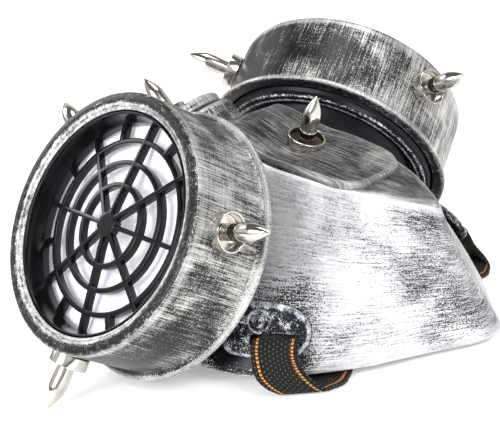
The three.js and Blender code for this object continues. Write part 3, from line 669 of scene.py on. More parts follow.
def shell_skin():
    """The outside of the left half. Each row goes straight from the spine to near the crease,
    round the crease on a quadratic curve, and down the bulged side: crease + (rim - crease) d
    + outward 4 bulge d (1 - d). Rows are then averaged with their neighbours, and past the nose
    ridge and the chin with their own mirror images, so that both halves meet smoothly."""
    share = np.linspace(0, 1, SHELL_ROWS)
    spine, crease, rim, outward, bulge = section_lines(share)
    strip_length = np.linalg.norm(crease - spine, axis=1)
    side_length = np.linalg.norm(rim - crease, axis=1)
    a = np.clip(CREASE_ROUND / np.maximum(strip_length, 1e-6), 0, 0.5)[:, None, None]
    b = np.clip(CREASE_ROUND / side_length, 0, 0.3)[:, None]
    t = np.linspace(0, 1, STRIP_COLUMNS)[None, :, None] * (1 - a)
    strip = spine[:, None] + (crease - spine)[:, None] * t
    down = b + (1 - b) * np.linspace(0, 1, SIDE_COLUMNS)[None, :]
    side = bulged(crease, rim, outward, bulge, down)
    w = np.linspace(0, 1, CORNER_COLUMNS + 2)[1:-1][None, :, None]
    corner = (1 - w) ** 2 * strip[:, -1:] + 2 * w * (1 - w) * crease[:, None] + w**2 * side[:, :1]
    skin = np.concatenate([strip, corner, side], 1)
    reach, width = 12, 4.0
    mirror = np.array([-1, 1, 1])
    padded = np.concatenate([skin[reach:0:-1] * mirror, skin, skin[-2 : -reach - 2 : -1] * mirror], 0)
    weights = np.exp(-0.5 * (np.arange(-reach, reach + 1) / width) ** 2)
    weights /= weights.sum()
    skin = sum(wt * padded[k : k + SHELL_ROWS] for k, wt in enumerate(weights))
    skin[0, :, 0] = skin[-1, :, 0] = 0
    skin[:, 0, 0] = 0
    return skin


def shell_piece():
    """Both halves of the skin, a copy of them moved in along the normals by the wall, and a half
    round rim between the two."""
    skin = shell_skin()
    left_to_right = np.concatenate([skin[:, ::-1], skin[:, 1:] * np.array([-1, 1, 1])], 1)
    rows, columns = left_to_right.shape[:2]
    across = np.gradient(left_to_right, axis=1)
    down = np.gradient(left_to_right, axis=0)
    normal = unit(np.cross(across, down))
    normal *= np.sign((normal * np.array([0, 0, 1.0])).sum(-1).mean())
    normal[0, :, 0] = normal[-1, :, 0] = 0
    middle = columns // 2
    normal[:, middle, 0] = 0
    for row in (0, -1):
        normal[row] = normal[row] * 0.5 + normal[row, ::-1] * 0.5
    normal = unit(normal)
    inner = left_to_right - normal * WALL
    turn = np.linspace(0, np.pi, 7)[1:-1][None, :, None]

    def rim_round(edge, before, inner_edge):
        centre, half = (edge + inner_edge) / 2, (edge - inner_edge) / 2
        outward = unit(edge - before)
        return centre[:, None] + half[:, None] * np.cos(turn) + outward[:, None] * np.sin(turn) * 0.5

    right_rim = rim_round(left_to_right[:, -1], left_to_right[:, -2], inner[:, -1])
    left_rim = rim_round(left_to_right[:, 0], left_to_right[:, 1], inner[:, 0])[:, ::-1]
    loop = np.concatenate([left_to_right, right_rim, inner[:, ::-1], left_rim], 1)
    for row in (0, -1):
        loop[row, :, 0] = 0
    count = loop.shape[1]
    share = np.linspace(0, 1, rows)
    rim_line = curve_points(RIM, share)
    crease_line = curve_points(CREASE, share)
    step = np.linalg.norm(np.diff(rim_line * 0.6 + crease_line * 0.4, axis=0), axis=1)
    along = np.concatenate([[0], np.cumsum(step)])
    across_strip = np.linspace(-20, 0, STRIP_COLUMNS + CORNER_COLUMNS)
    half = np.concatenate([across_strip, np.linspace(0, 1, SIDE_COLUMNS) * 60])
    line = np.concatenate([half[::-1], half[1:], [61] * 5, half[:0:-1], half, [61] * 5])
    side = np.repeat([1, -1, 1], [middle + 1, 2 * middle + 5, middle + 6])
    lay = np.zeros(loop.shape)
    lay[:, :, 0] = along[:, None] * side[None, :]
    lay[:, :, 1] = line[None, :]
    wear_and_shade = np.zeros((rows, count))
    outwards = np.abs(np.arange(columns) - middle)
    near_crease = np.exp(-(((outwards - STRIP_COLUMNS - 2) / 2.5) ** 2))
    near_rim = np.exp(-(((outwards - middle) / 1.5) ** 2))
    wear_and_shade[:, :columns] = near_crease * 0.5 + near_rim * 0.5
    down_side = np.clip((outwards - STRIP_COLUMNS - CORNER_COLUMNS) / SIDE_COLUMNS, 0, 1)
    dark_chin = 1.3 * smoothstep(0.48, 0.58, share)
    wear_and_shade[:, :columns] -= dark_chin[:, None] * smoothstep(0.4, 0.8, down_side)[None]
    # Painted shade: less paint on the sides towards the nose, so that they go greyer there, as where the
    # light falls off.
    nose_painted_shade = 0.42 * (1 - smoothstep(0.12, 0.5, share))
    wear_and_shade[:, :columns] -= nose_painted_shade[:, None] * (down_side > 0)[None]
    wear_and_shade[:, columns : columns + 5] = wear_and_shade[:, -5:] = 0.9 - 1.3 * smoothstep(0.5, 0.6, share)[:, None]
    faces = grid_faces(rows, count, False, True)
    column = faces[:, 0] % count
    on_strip = np.abs(column + 0.5 - middle) < STRIP_COLUMNS + 2
    kind = np.where(column < columns - 1, np.where(on_strip, 1, 0), 2)
    kind = np.where((column >= columns - 1) & (column < columns + 4), 0, kind)
    kind = np.where(column >= count - 6, 0, kind)
    part = Part(loop, faces, lay, wear_and_shade.ravel())
    skins = [SIDE_SILVER, STRIP_SILVER, INSIDE_BLACK]
    make_piece("shell_skin", part, skins, ["face_shell"], kind, 60)
    return skin


SKIN = shell_piece()
_coarse = SKIN[::4, ::3]
_both = np.concatenate([_coarse[:, ::-1], _coarse[:, 1:] * np.array([-1, 1, 1])], 1)
SHELL_TRIANGLES = _both.reshape(-1, 3)[
    np.vstack([(q := grid_faces(*_both.shape[:2]))[:, [0, 1, 2]], q[:, [0, 2, 3]]])
]


def distance_to_shell(starts, direction, missed):
    """How far it is from each start to the outside of the shell in one direction: the first
    triangle that each ray crosses, worked out for all rays and triangles at once."""
    a, b, c = SHELL_TRIANGLES[:, 0], SHELL_TRIANGLES[:, 1], SHELL_TRIANGLES[:, 2]
    edge_1, edge_2 = b - a, c - a
    across = np.cross(direction, edge_2)
    volume = (edge_1 * across).sum(1)
    volume = np.where(np.abs(volume) < 1e-9, 1e-9, volume)
    offset = starts[:, None] - a[None]
    u = (offset * across[None]).sum(2) / volume
    turned_offset = np.cross(offset, edge_1[None])
    v = (turned_offset @ direction) / volume
    far = (turned_offset * edge_2[None]).sum(2) / volume
    inside = (u >= -1e-6) & (v >= -1e-6) & (u + v <= 1 + 1e-6) & (far > 0)
    nearest = np.where(inside, far, 1e9).min(1)
    return np.where(nearest > 1e8, missed, nearest)


# Raised panel on the centre strip
def share_at(line, y):
    """The share of the way along a curve where it reaches a distance along Y, by halving."""
    low, high = np.zeros_like(y), np.ones_like(y)
    for _ in range(30):
        middle = (low + high) / 2
        above = curve_points(line, middle)[:, 1] > y
        low, high = np.where(above, middle, low), np.where(above, high, middle)
    return low


def strip_surface(x, y):
    """Points of the strip under given x and y: the section whose straight line from spine to
    crease passes there is found by halving, and gives the height."""
    low, high = np.zeros_like(y), np.ones_like(y)
    for _ in range(30):
        middle = (low + high) / 2
        spine, crease = curve_points(SPINE, middle), curve_points(CREASE, middle)
        t = np.clip(np.abs(x) / np.maximum(crease[:, 0], 1e-6), 0, 1.3)
        above = spine[:, 1] + (crease[:, 1] - spine[:, 1]) * t > y
        low, high = np.where(above, middle, low), np.where(above, high, middle)
    spine, crease = curve_points(SPINE, low), curve_points(CREASE, low)
    t = np.clip(np.abs(x) / np.maximum(crease[:, 0], 1e-6), 0, 1.3)
    return np.stack([x, y, spine[:, 2] + (crease[:, 2] - spine[:, 2]) * t], 1)


def panel_piece():
    """A pad raised over the strip. Its half width follows the crease, then closes on the rounded
    end width cos(a)^0.6. Its height over the strip is a quarter circle of the distance in from
    the outline, then flat."""
    along, across = 150, 81
    lengths = PANEL_START + (PANEL_END - PANEL_START) * np.sin(np.linspace(0, np.pi / 2, along)) ** 0.9
    lengths[-1] = PANEL_END
    shoulder = PANEL_END - PANEL_ROUND
    crease = curve_points(CREASE, share_at(CREASE, np.minimum(lengths, shoulder)))
    half = crease[:, 0] - PANEL_INSET
    turn = np.arcsin(np.clip((lengths - shoulder) / PANEL_ROUND, 0, 1))
    half = half * np.cos(turn) ** 0.6
    half[-1] = 0.0
    u = np.sin(np.linspace(-np.pi / 2, np.pi / 2, across))
    x = (half[:, None] * u).ravel()
    y = np.repeat(lengths, across)
    sides = [np.stack([sign * half, lengths], 1) for sign in (1, -1)]
    start_line = np.stack([u * half[0], np.full(across, PANEL_START)], 1)
    outline = np.concatenate([*sides, start_line])
    away = np.sqrt(((np.stack([x, y], 1)[:, None] - outline[None]) ** 2).sum(2)).min(1)
    edge = 1.5
    rise = np.sqrt(1 - (1 - np.clip(away / edge, 0, 1)) ** 2)
    base = strip_surface(x, y)
    grid = base.reshape(along, across, 3)
    lean = unit(np.cross(np.gradient(grid[:-1], axis=1), np.gradient(grid[:-1], axis=0)))
    lean = np.concatenate([lean, lean[-1:]], 0)
    lean *= np.sign(lean[..., 2:3])
    lean[:, :, 0] = (lean[:, :, 0] - lean[:, ::-1, 0]) / 2
    mean_lean = unit(lean.mean(1, keepdims=True) + 0 * lean)
    height = -0.5 + (PANEL_RISE + 0.5) * rise
    points = base + mean_lean.reshape(-1, 3) * height[:, None]
    wear_and_shade = np.exp(-(((away - 0.9) / 0.8) ** 2)) * np.where(y > 40, 1.0, 0.45)
    top = Part(points, grid_faces(along, across), np.stack([y, x, 0 * x], 1), wear_and_shade)
    make_piece("strip_panel", top, STRIP_SILVER, (), None, 75)


panel_piece()


# Filter drums
def drum_axis(side):
    return np.array([side * math.sin(DRUM_SPLAY), 0, math.cos(DRUM_SPLAY)])


def drum_axes(side):
    return axes_along((side * DRUM_SPREAD, 0, 0), drum_axis(side), Y_AXIS)


def drum_piece(word, side):
    """The drum's wall and rolled front lip: a closed profile carried round the drum's axis."""
    axes = drum_axes(side)
    inside = DRUM_R - DRUM_WALL
    back = -DRUM_DEPTH
    profile = [
        (inside, -LIP, 0.4, 0),
        (MOUTH_R, -LIP, 0.5, 0),
        (MOUTH_R, -1.5, 0.5, 0.9),
        (MOUTH_R + 0.9, -1.0, 0.4, 0.9),
        (MOUTH_R + 1.1, -1.5, 0.3, -0.3),
        (MOUTH_R + MOUTH_EDGE, -0.4, 0.6, 0.8),
        (DRUM_R - LIP_ROUND, 0.0, 1.6, -0.1),
        (DRUM_R - 0.2, -0.55, 1.4, 0.3),
        (DRUM_R, -LIP_ROUND, 1.0, 0.7),
        (DRUM_R, back + 3.4, 0.7, 0),
        (DRUM_R + 0.5, back + FLANGE + 0.4, 0.4, -0.4),
        (FLANGE_R, back + FLANGE, 0.6, 0.9),
        (FLANGE_R, back, 0.5, 0.9),
        (inside, back, 0.4, 0.2),
    ]
    part = turned(profile, 192, axes, closed=True)
    local = (part.points - axes[0]) @ axes[1].T
    radius = np.hypot(local[:, 0], local[:, 1])
    on_wall = local[:, 2] < -LIP_ROUND
    # Painted shade: the wall gets less paint where it faces up and where it faces down to the table, and
    # more where it faces nose and chin.
    part.wear_and_shade = part.wear_and_shade + on_wall * 0.34 * ((local[:, 1] / radius) ** 2 - 0.55)
    face_centre_h = local[part.faces, 2].mean(1)
    face_centre_r = radius[part.faces].mean(1)
    on_lip = (face_centre_h > -1.6) & (face_centre_r < DRUM_R - 0.35)
    on_back = face_centre_h < back + 0.12
    is_inside = (face_centre_r < inside + 0.6) & (face_centre_h < -1.5)
    kind = np.where(is_inside, 2, np.where(on_lip | on_back, 1, 0))
    skins = [DRUM_SILVER, LIP_SILVER, INSIDE_BLACK]
    make_piece(f"drum_shell_{word}", part, skins, [f"drum_{word}"], kind, 60)


def grille_face(radius):
    """Height of the grille's face: a flat hub on a shallow cone that falls towards the rim."""
    outward = np.maximum(radius - HUB_R, 0) / (GRILLE_R - HUB_R)
    return -(GRILLE_DEPTH - GRILLE_DOME * (1 - outward))


def ring_corners(radius, width, rounding):
    low, high = radius - width / 2, radius + width / 2
    return [
        (low, grille_face(low), rounding, 0),
        (high, grille_face(high), rounding, 0),
        (high, grille_face(high) - GRILLE_THICK, rounding, 0),
        (low, grille_face(low) - GRILLE_THICK, rounding, 0),
    ]


def spokes(axes, start, stop, width, turns, stations=12):
    """Bars along the cone. At each station along a bar its section is a rounded box, and all bars
    are worked out together: radius along the bar, width across it, height under the face."""
    half, bottom = width / 2, -GRILLE_THICK
    corners = [(-half, 0, 0.3, 0), (half, 0, 0.3, 0), (half, bottom, 0.3, 0), (-half, bottom, 0.3, 0)]
    section, _ = rounded_line(corners, closed=True, step=4, arc=3)
    tip = 0.02
    radius = np.concatenate([[start], np.linspace(start + tip, stop - tip, stations - 2), [stop]])
    shrink = np.ones(stations)
    shrink[[0, -1]] = 1e-3
    r = radius[None, :, None]
    side = section[None, None, :, 0] * shrink[None, :, None]
    from_middle = (section[None, None, :, 1] + GRILLE_THICK / 2) * shrink[None, :, None]
    height = grille_face(r) + from_middle - GRILLE_THICK / 2
    a = np.asarray(turns)[:, None, None]
    r, side, height, a = np.broadcast_arrays(r, side, height, a)
    local = np.stack([r * np.cos(a) - side * np.sin(a), r * np.sin(a) + side * np.cos(a), height], -1)
    size = len(section)
    one = grid_faces(stations, size, False, True)
    faces = np.vstack([one + k * stations * size for k in range(len(turns))])
    return Part(in_frame(local.reshape(-1, 3), axes), faces)


def grille_piece(word, side):
    """Rings, long spokes from the hub, short spokes at the rim, an eight-sided hub, and the bowl
    that carries them in the drum's mouth."""
    axes = drum_axes(side)
    bowl = [
        (GRILLE_R, -GRILLE_DEPTH, 0.5, 0),
        (GRILLE_R + 0.8, -6.0, 1.4, 0),
        (37.6, -1.6, 0.4, 0),
        (38.3, -1.6, 0.3, 0),
        (38.3, -3.8, 0.3, 0),
        (SEAT_R, -3.8, 0.3, 0),
        (SEAT_R, -6.0, 0.3, 0),
        (38.3, -6.0, 0.5, 0),
        (37.7, -GRILLE_DEPTH - GRILLE_THICK, 0.5, 0),
        (GRILLE_R, -GRILLE_DEPTH - GRILLE_THICK, 0.4, 0),
    ]
    parts = [turned(bowl, 160, axes, closed=True)]
    for radius in GRILLE_RINGS:
        parts.append(turned(ring_corners(radius, RING_WIDTH, 0.35), 128, axes, closed=True, step=3, arc=4))
    high, low = grille_face(0) + 0.25, grille_face(0) - GRILLE_THICK
    hub = [(0, high, 0, 0), (HUB_R, high, 0.4, 0), (HUB_R, low, 0.4, 0), (0, low, 0, 0)]
    parts.append(turned(hub, 8, axes, arc=4))
    long_turns = SPOKE_TURN + 2 * np.pi * np.arange(LONG_SPOKES) / LONG_SPOKES
    parts.append(spokes(axes, HUB_R - 1, GRILLE_R + 1.2, SPOKE_WIDTH, long_turns))
    short_turns = long_turns + np.pi / LONG_SPOKES
    parts.append(spokes(axes, GRILLE_RINGS[-1], GRILLE_R + 1.2, SPOKE_WIDTH + 0.35, short_turns, 5))
    whole = parts[0].joined(*parts[1:])
    make_piece(f"grille_bars_{word}", whole, GRILLE_BLACK, [f"grille_{word}"])


def pad_piece(word, side):
    """A felt disc with softly folded edges: height = top + small waves that grow outwards."""
    axes = drum_axes(side)
    rings, sides = 40, 120
    profile = np.concatenate([np.linspace(0, 1, rings), [1.0, 0.985, 0.0]])
    depth = np.concatenate([np.zeros(rings), [-0.6, -1.0, -1.0]])
    angle = np.linspace(0, 2 * np.pi, sides, endpoint=False)
    r = (profile * (SEAT_R - 0.3))[:, None]
    fold = 0.35 * np.sin(7 * angle + 0.6) + 0.3 * np.sin(12 * angle + 2.1) + 0.2 * np.sin(19 * angle)
    ripple = 0.25 * np.sin(r * 0.55) * np.cos(3 * angle)[None]
    wave = (fold[None] * profile[:, None] ** 2 + ripple) * profile[:, None]
    h = PAD_TOP - 0.75 + np.where(depth[:, None] == 0, wave, 0) + depth[:, None] * (PAD_THICK - 0.9)
    local = np.stack([r * np.cos(angle), r * np.sin(angle), h + 0 * angle], 2)
    part = Part(in_frame(local.reshape(-1, 3), axes), grid_faces(len(profile), sides, False, True))
    obj = make_piece(f"felt_pad_{word}", part, FELT_WITH_PAINTED_GLOW, [f"filter_pad_{word}"], None, 60)


def base_piece(word, side):
    """The black base behind a drum: a cup in the drum's back, a rounded bead, and a neck that goes
    down to the shell. Each line of the neck ends in the shell's wall, found by a ray along it."""
    axes = drum_axes(side)
    sides = 128
    top, back = PAD_TOP - PAD_THICK - GAP, -DRUM_DEPTH
    profile = [
        (SEAT_R - DRUM_WALL, top, 0.4, 0),
        (SEAT_R, top, 0.4, 0),
        (SEAT_R, back, 0.6, 0),
        (BEAD_R, back - 1.0, 1.0, 0.2),
        (BEAD_R - 0.4, back - BEAD_HEIGHT + 0.5, 1.6, 0.9),
        (BEAD_R - BEAD_WIDTH / 2, back - BEAD_HEIGHT, 1.4, 1.0),
        (BEAD_R - BEAD_WIDTH + 0.4, back - BEAD_HEIGHT + 0.6, 1.6, 0.4),
        (BEAD_R - BEAD_WIDTH - 0.6, back - 1.4, 1.6, 0),
        (NECK_R, back - 2 * BEAD_HEIGHT, 2.0, 0.1),
        (NECK_R, -NECK_END, 0.5, 0),
        (NECK_R - NECK_WALL, -NECK_END, 0.5, 0),
        (NECK_R - NECK_WALL, back + BEAD_HEIGHT, 0.5, 0),
        (SEAT_R - DRUM_WALL, back + BEAD_HEIGHT, 0.6, 0),
    ]
    part = turned(profile, sides, axes, closed=True)
    local = (part.points - axes[0]) @ axes[1].T
    angle = np.linspace(0, 2 * np.pi, sides, endpoint=False)
    moved = local.reshape(-1, sides, 3)
    for radius, first in ((NECK_R, back - 2 * BEAD_HEIGHT), (NECK_R - NECK_WALL, back + BEAD_HEIGHT)):
        ring = np.stack([radius * np.cos(angle), radius * np.sin(angle), np.full(sides, back - 2.0)], 1)
        reach = distance_to_shell(in_frame(ring, axes), -axes[1][2], 200.0)
        end = np.clip(back - 2.0 - reach - 1.2, -NECK_END, None)
        near = np.abs(np.hypot(moved[:, :, 0], moved[:, :, 1]) - radius) < 0.7
        span = (moved[:, :, 2] - first) / (-NECK_END - first)
        goal = first + span * (end[None] - first)
        moved[:, :, 2] = np.where(near & (moved[:, :, 2] < first), goal, moved[:, :, 2])
    out = np.hypot(moved[:, :, 0], moved[:, :, 1])
    in_wall = (out > NECK_R - NECK_WALL + 0.7) & (out < NECK_R - 0.7)
    floor_ring = in_wall & (moved[:, :, 2] < -NECK_END + 1.5)
    moved[:, :, 2] = np.where(floor_ring, end[None], moved[:, :, 2])
    part.points = in_frame(moved.reshape(-1, 3), axes)
    make_piece(f"drum_back_{word}", part, BASE_BLACK, [f"drum_base_{word}"], None, 50)


# Spikes and cups
def spike_piece(name, axes, nodes, foot=CUP_WALL + 2 * GAP):
    """A turned spike: a stem that widens a little upwards, then radius (1 - t^1.6) to the point."""
    shoulder = SPIKE - SPIKE_CONE
    stem = [
        (0, foot, 0, 0),
        (SPIKE_R - 0.4, foot, 0.3, 0),
        (SPIKE_R - 0.4, foot + 2, 2.0, 0),
        (SPIKE_R - 0.02, shoulder - 3.5, 3.0, 0),
        (SPIKE_R, shoulder, 0, 0),
    ]
    line, _ = rounded_line(stem, step=2, arc=6)
    t = np.linspace(0, 1, 24)[1:, None]
    cone = np.concatenate([SPIKE_R * (1 - t**1.6), shoulder + SPIKE_CONE * t], 1)
    profile = np.vstack([line, cone])
    sides = 48
    angle = np.linspace(0, 2 * np.pi, sides, endpoint=False)
    r, h = profile[:, :1], profile[:, 1:]
    local = np.stack([r * np.cos(angle), r * np.sin(angle), np.repeat(h, sides, 1)], 2)
    part = Part(in_frame(local.reshape(-1, 3), axes), grid_faces(len(profile), sides, False, True))
    make_piece(name, part, STEEL, nodes, None, 30)


def cup_piece(name, axes, nodes, floor=CUP_WALL, sink=0.0, lining=STEEL):
    """A cup washer: a short tray with a flat floor, flared a little to its rim."""
    inside = CUP_R - CUP_WALL
    profile = [
        (0, -sink, 0, 0),
        (CUP_R - 0.25, -sink, 0.4, 0),
        (CUP_R, CUP, 0.25, 0),
        (inside, CUP, 0.25, 0),
        (inside - 0.2, GAP + floor, 0.5, 0),
        (0, GAP + floor, 0, 0),
    ]
    part = turned(profile, 64, axes, step=2, arc=4)
    local = (part.points - axes[0]) @ axes[1].T
    radius, height = np.hypot(local[:, 0], local[:, 1])[part.faces].mean(1), local[part.faces, 2].mean(1)
    kind = np.where((radius < inside + 0.05) & (height > GAP + floor - 0.05), 1, 0)
    make_piece(name, part, [STEEL, lining], nodes, kind, 35)


def drum_spike_axes(side, turn):
    """The foot of a spike on a drum's wall, with the third axis out of the wall."""
    axis = drum_axis(side)
    inward = np.array([-side * axis[2], 0, abs(axis[0])])
    out = Y_AXIS * math.cos(math.radians(turn)) + inward * math.sin(math.radians(turn))
    foot = np.array([side * DRUM_SPREAD, 0, 0]) - axis * DRUM_SPIKE_DEPTH + out * DRUM_R
    return axes_along(foot, out, axis)


for word, side in (("left", 1), ("right", -1)):
    drum_piece(word, side)
    grille_piece(word, side)
    pad_piece(word, side)
    base_piece(word, side)
    for place, turn in DRUM_SPIKES[word]:
        stand = drum_spike_axes(side, turn)
        cup_piece(f"cup_{word}_{place}", stand, [f"spike_cup_{word}_{place}"])
        spike_piece(f"steel_spike_{word}_{place}", stand, [f"spike_{word}_{place}"])

# Valve on the chin
VALVE_AXIS = np.array([0, -math.sin(VALVE_LEAN), math.cos(VALVE_LEAN)])
VALVE_AXES = axes_along((0, VALVE_PLACE, VALVE_HEIGHT), VALVE_AXIS, X_AXIS)


def valve_piece():
    """A round cap on a narrower neck, over a body whose foot follows the shell: the body's bottom
    is moved along the axis to just under the shell's outside, found by rays."""
    sides = 128
    profile = [
        (0, 0, 0, 0),
        (17.7, 0, 0.9, 0.9),
        (18.4, -0.9, 0.5, 0.8),
        (18.4, -4.0, 0.6, 0.8),
        (14.5, -4.0, 0.5, 0),
        (14.5, -5.4, 0.4, 0),
        (20.2, -5.4, 0.9, 0.9),
        (21.0, -6.3, 0.6, 0.6),
        (21.0, -20.0, 0.0, 0.5),
        (14.0, -20.0, 0.0, 0),
        (7.0, -20.0, 0.0, 0),
        (0, -20.0, 0, 0),
    ]
    part = turned(profile, sides, VALVE_AXES)
    local = ((part.points - VALVE_AXES[0]) @ VALVE_AXES[1].T).reshape(-1, sides, 3)
    start = local.copy()
    start[:, :, 2] = -6.4
    starts = in_frame(start.reshape(-1, 3), VALVE_AXES)
    reach = distance_to_shell(starts, -VALVE_AXES[1][2], 14.0).reshape(-1, sides)
    end = np.maximum(-6.4 - reach - 1.0, -26.0)
    low = local[:, :, 2] < -6.6
    span = (local[:, :, 2] + 6.4) / (-20.0 + 6.4)
    local[:, :, 2] = np.where(low, -6.4 + span * (end + 6.4), local[:, :, 2])
    part.points = in_frame(local.reshape(-1, 3), VALVE_AXES)
    make_piece("valve_cap", part, DRUM_SILVER, ["chin_valve"], None, 50)
    cup_piece("cup_valve", VALVE_AXES, ["spike_cup_valve"])
    spike_piece("steel_spike_valve", VALVE_AXES, ["spike_valve"])


valve_piece()

# Spike on the strip
_lean = np.array([0, math.sin(STRIP_SPIKE_LEAN), math.cos(STRIP_SPIKE_LEAN)])
_foot = curve_points(SPINE, share_at(SPINE, np.array([STRIP_SPIKE_PLACE])))[0]
STRIP_AXES = axes_along(_foot + _lean * STRIP_SPIKE_LIFT, _lean, X_AXIS)
cup_piece("cup_strip", STRIP_AXES, ["spike_cup_strip"], floor=1.9, sink=2.0, lining=CUP_INSIDE)
spike_piece("steel_spike_strip", STRIP_AXES, ["spike_strip"], foot=2.3)


# Strap tabs
def tab_axes(side):
    """Origin on the shell under the slot, first axis along the shell, second up it, third out."""
    last = len(SECTIONS) - 1
    drops = np.array([TAB_DROP - 0.15, TAB_DROP, TAB_DROP + 0.15])
    at = side_points(np.array([TAB_SECTION]) / last, drops)[0]
    near = side_points(np.array([TAB_SECTION - 1, TAB_SECTION + 1]) / last, np.array([TAB_DROP]))[:, 0]
    along = unit(near[0] - near[1])
    outward = unit(np.cross(along, at[0] - at[2]))
    directions = np.stack([along, np.cross(outward, along), outward])
    flip = np.array([side, 1, 1])
    return at[1] * flip, directions * flip


def tab_piece(word, side):
    """A tongue with a slot: between the slot's edge and the outline, both given as a radius for
    each angle round the slot's middle, a rounded section is carried all the way round. Its foot is
    a block with squared-off rounded sides, and its stud a small turned button."""
    axes = tab_axes(side)
    top, bottom = TAB_UPPER - SLOT_MIDDLE, TAB_LOWER + SLOT_MIDDLE
    shares = np.array([
        (-1, -0.5), (-0.74, -1), (0.73, -1), (0.89, -0.55), (0.98, -0.1), (1, 0.3),
        (0.93, 0.55), (0.72, 0.8), (0.35, 0.95), (-0.4, 1), (-0.8, 0.9), (-1, 0.75),
    ])  # fmt: skip
    corner_u = scaled(shares[:, 0], TAB_BACK, TAB_REACH) - SLOT_SHIFT
    corners = np.stack([corner_u, scaled(shares[:, 1], bottom, top)], 1)
    ring = np.vstack([corners[-2:], corners, corners[:2]])
    smooth = curve_points(ring, np.linspace(2, 2 + len(corners), 240) / (len(ring) - 1))
    angle = np.linspace(-np.pi, np.pi, 160, endpoint=False)
    found = np.unwrap(np.arctan2(smooth[:, 1], smooth[:, 0]))
    found = np.mod(found + np.pi, 2 * np.pi) - np.pi
    outer = np.interp(angle, found, np.hypot(*smooth.T), period=2 * np.pi)
    half_u, half_v, power = 8.8, SLOT_HEIGHT / 2, 8
    along_u = np.abs(np.cos(angle) / half_u) ** power
    along_v = np.abs(np.sin(angle) / half_v) ** power
    slot = (along_u + along_v) ** (-1 / power)
    face, foot = STRAP_ROOM + TAB_THICK, STRAP_ROOM
    section = [
        (0, 0.0, foot + 0.5), (0, 0.0, face - 0.5), (0, 0.15, face - 0.15), (0, 0.5, face),
        (0.25, 0, face), (0.5, 0, face), (0.75, 0, face), (1, -1.6, face), (1, -1.3, face + 0.35),
        (1, -0.6, face + 0.35), (1, -0.15, face - 0.1), (1, 0.0, face - 0.5),
        (1, 0.0, foot + 0.5), (1, -0.4, foot), (0.5, 0, foot), (0, 0.4, foot),
    ]  # fmt: skip
    f, off, h = (np.array(column)[None, :] for column in zip(*section))
    r = slot[:, None] + (outer - slot)[:, None] * f + off
    local = np.stack([r * np.cos(angle)[:, None], r * np.sin(angle)[:, None], h + 0 * r], 2)
    at_face = h >= face - 0.2
    wear_and_shade = np.broadcast_to(1.0 * ((f == 1) & at_face) + 0.5 * ((f == 0) & at_face), r.shape)
    faces = grid_faces(len(angle), len(section), True, True)
    plate = Part(in_frame(local.reshape(-1, 3), axes), faces, None, wear_and_shade.ravel())
    turn = np.linspace(0, 2 * np.pi, 48, endpoint=False)
    low_v, high_v = SLOT_HEIGHT / 2 + 1, top - 1
    middle_u, middle_v = (TAB_REACH - TAB_BACK) / 2 - SLOT_SHIFT - 1, (low_v + high_v) / 2
    wide, tall = (TAB_BACK + TAB_REACH - 9) / 2, (high_v - low_v) / 2
    squared = (np.abs(np.cos(turn)) ** 5 + np.abs(np.sin(turn)) ** 5) ** (-1 / 5)
    level = np.array([(0, -5), (1, -5), (1, STRAP_ROOM + 1), (0, STRAP_ROOM + 1)], float)
    block_u = middle_u + level[:, :1] * wide * squared * np.cos(turn)
    block_v = middle_v + level[:, :1] * tall * squared * np.sin(turn)
    block = np.stack([block_u, block_v, np.repeat(level[:, 1:], len(turn), 1)], 2)
    root = Part(in_frame(block.reshape(-1, 3), axes), grid_faces(len(level), len(turn), False, True))
    origin = in_frame(np.array([-SLOT_SHIFT, -SLOT_MIDDLE, face]), axes)
    button_axes = (origin, axes[1])
    button_line = [
        (0, STUD, 0, 0.3), (STUD_R - 0.8, STUD, 0.5, 0.6), (STUD_R - 0.3, 0.2, 0.3, 0),
        (STUD_R - 0.2, -0.3, 0.2, 0), (0, -0.6, 0, 0),
    ]  # fmt: skip
    button = turned(button_line, 48, button_axes, step=0.8, arc=4)
    collar_line = [
        (STUD_R + 0.4, -0.3, 0.2, 0), (STUD_R + 0.6, 0.3, 0.2, 0.8), (STUD_R + 1.3, 0.3, 0.3, 0.5),
        (STUD_R + 1.6, -0.3, 0.2, 0),
    ]  # fmt: skip
    collar = turned(collar_line, 48, button_axes, closed=True, step=0.8, arc=4)
    whole = plate.joined(root, button, collar)
    make_piece(f"tab_plate_{word}", whole, TAB_SILVER, [f"strap_tab_{word}"], None, 45)


for word, side in (("left", 1), ("right", -1)):
    tab_piece(word, side)

# Elastic strap
REST_NORMAL = np.array([0, math.sin(REST_TILT), math.cos(REST_TILT)])
REST_ALONG = np.array([0, math.cos(REST_TILT), -math.sin(REST_TILT)])
_tip = in_frame(np.array([0, 0, SPIKE]), drum_spike_axes(1, 245))
REST_LEVEL = float(_tip @ REST_NORMAL)
# Where the strap runs after the tab: x as a share of the cheek's half width, y as a share of the
# nose or chin reach, lift over the table in half strap widths, slant of the width, standing.
STRAP_RUN = np.array(
    [
        [0.976, 0.500, 0.90, -0.60, 0.10],
        [0.972, 0.535, 0.42, -0.62, 0.05],
        [0.940, 0.562, 0.14, -0.60, 0.00],
        [0.885, 0.572, 0.09, -0.50, 0.00],
        [0.800, 0.580, 0.09, -0.20, 0.00],
        [0.700, 0.568, 0.09, 0.10, 0.00],
        [0.600, 0.548, 0.12, 0.20, 0.05],
        [0.510, 0.510, 0.38, 0.25, 0.25],
        [0.450, 0.450, 0.75, 0.20, 0.60],
        [0.425, 0.370, 1.03, 0.00, 1.00],
        [0.460, 0.220, 1.06, 0.00, 1.00],
        [0.510, 0.040, 1.06, 0.00, 1.00],
        [0.500, -0.240, 1.06, 0.00, 1.00],
        [0.380, -0.500, 1.06, 0.00, 1.00],
        [0.200, -0.660, 1.06, 0.00, 1.00],
    ]
)


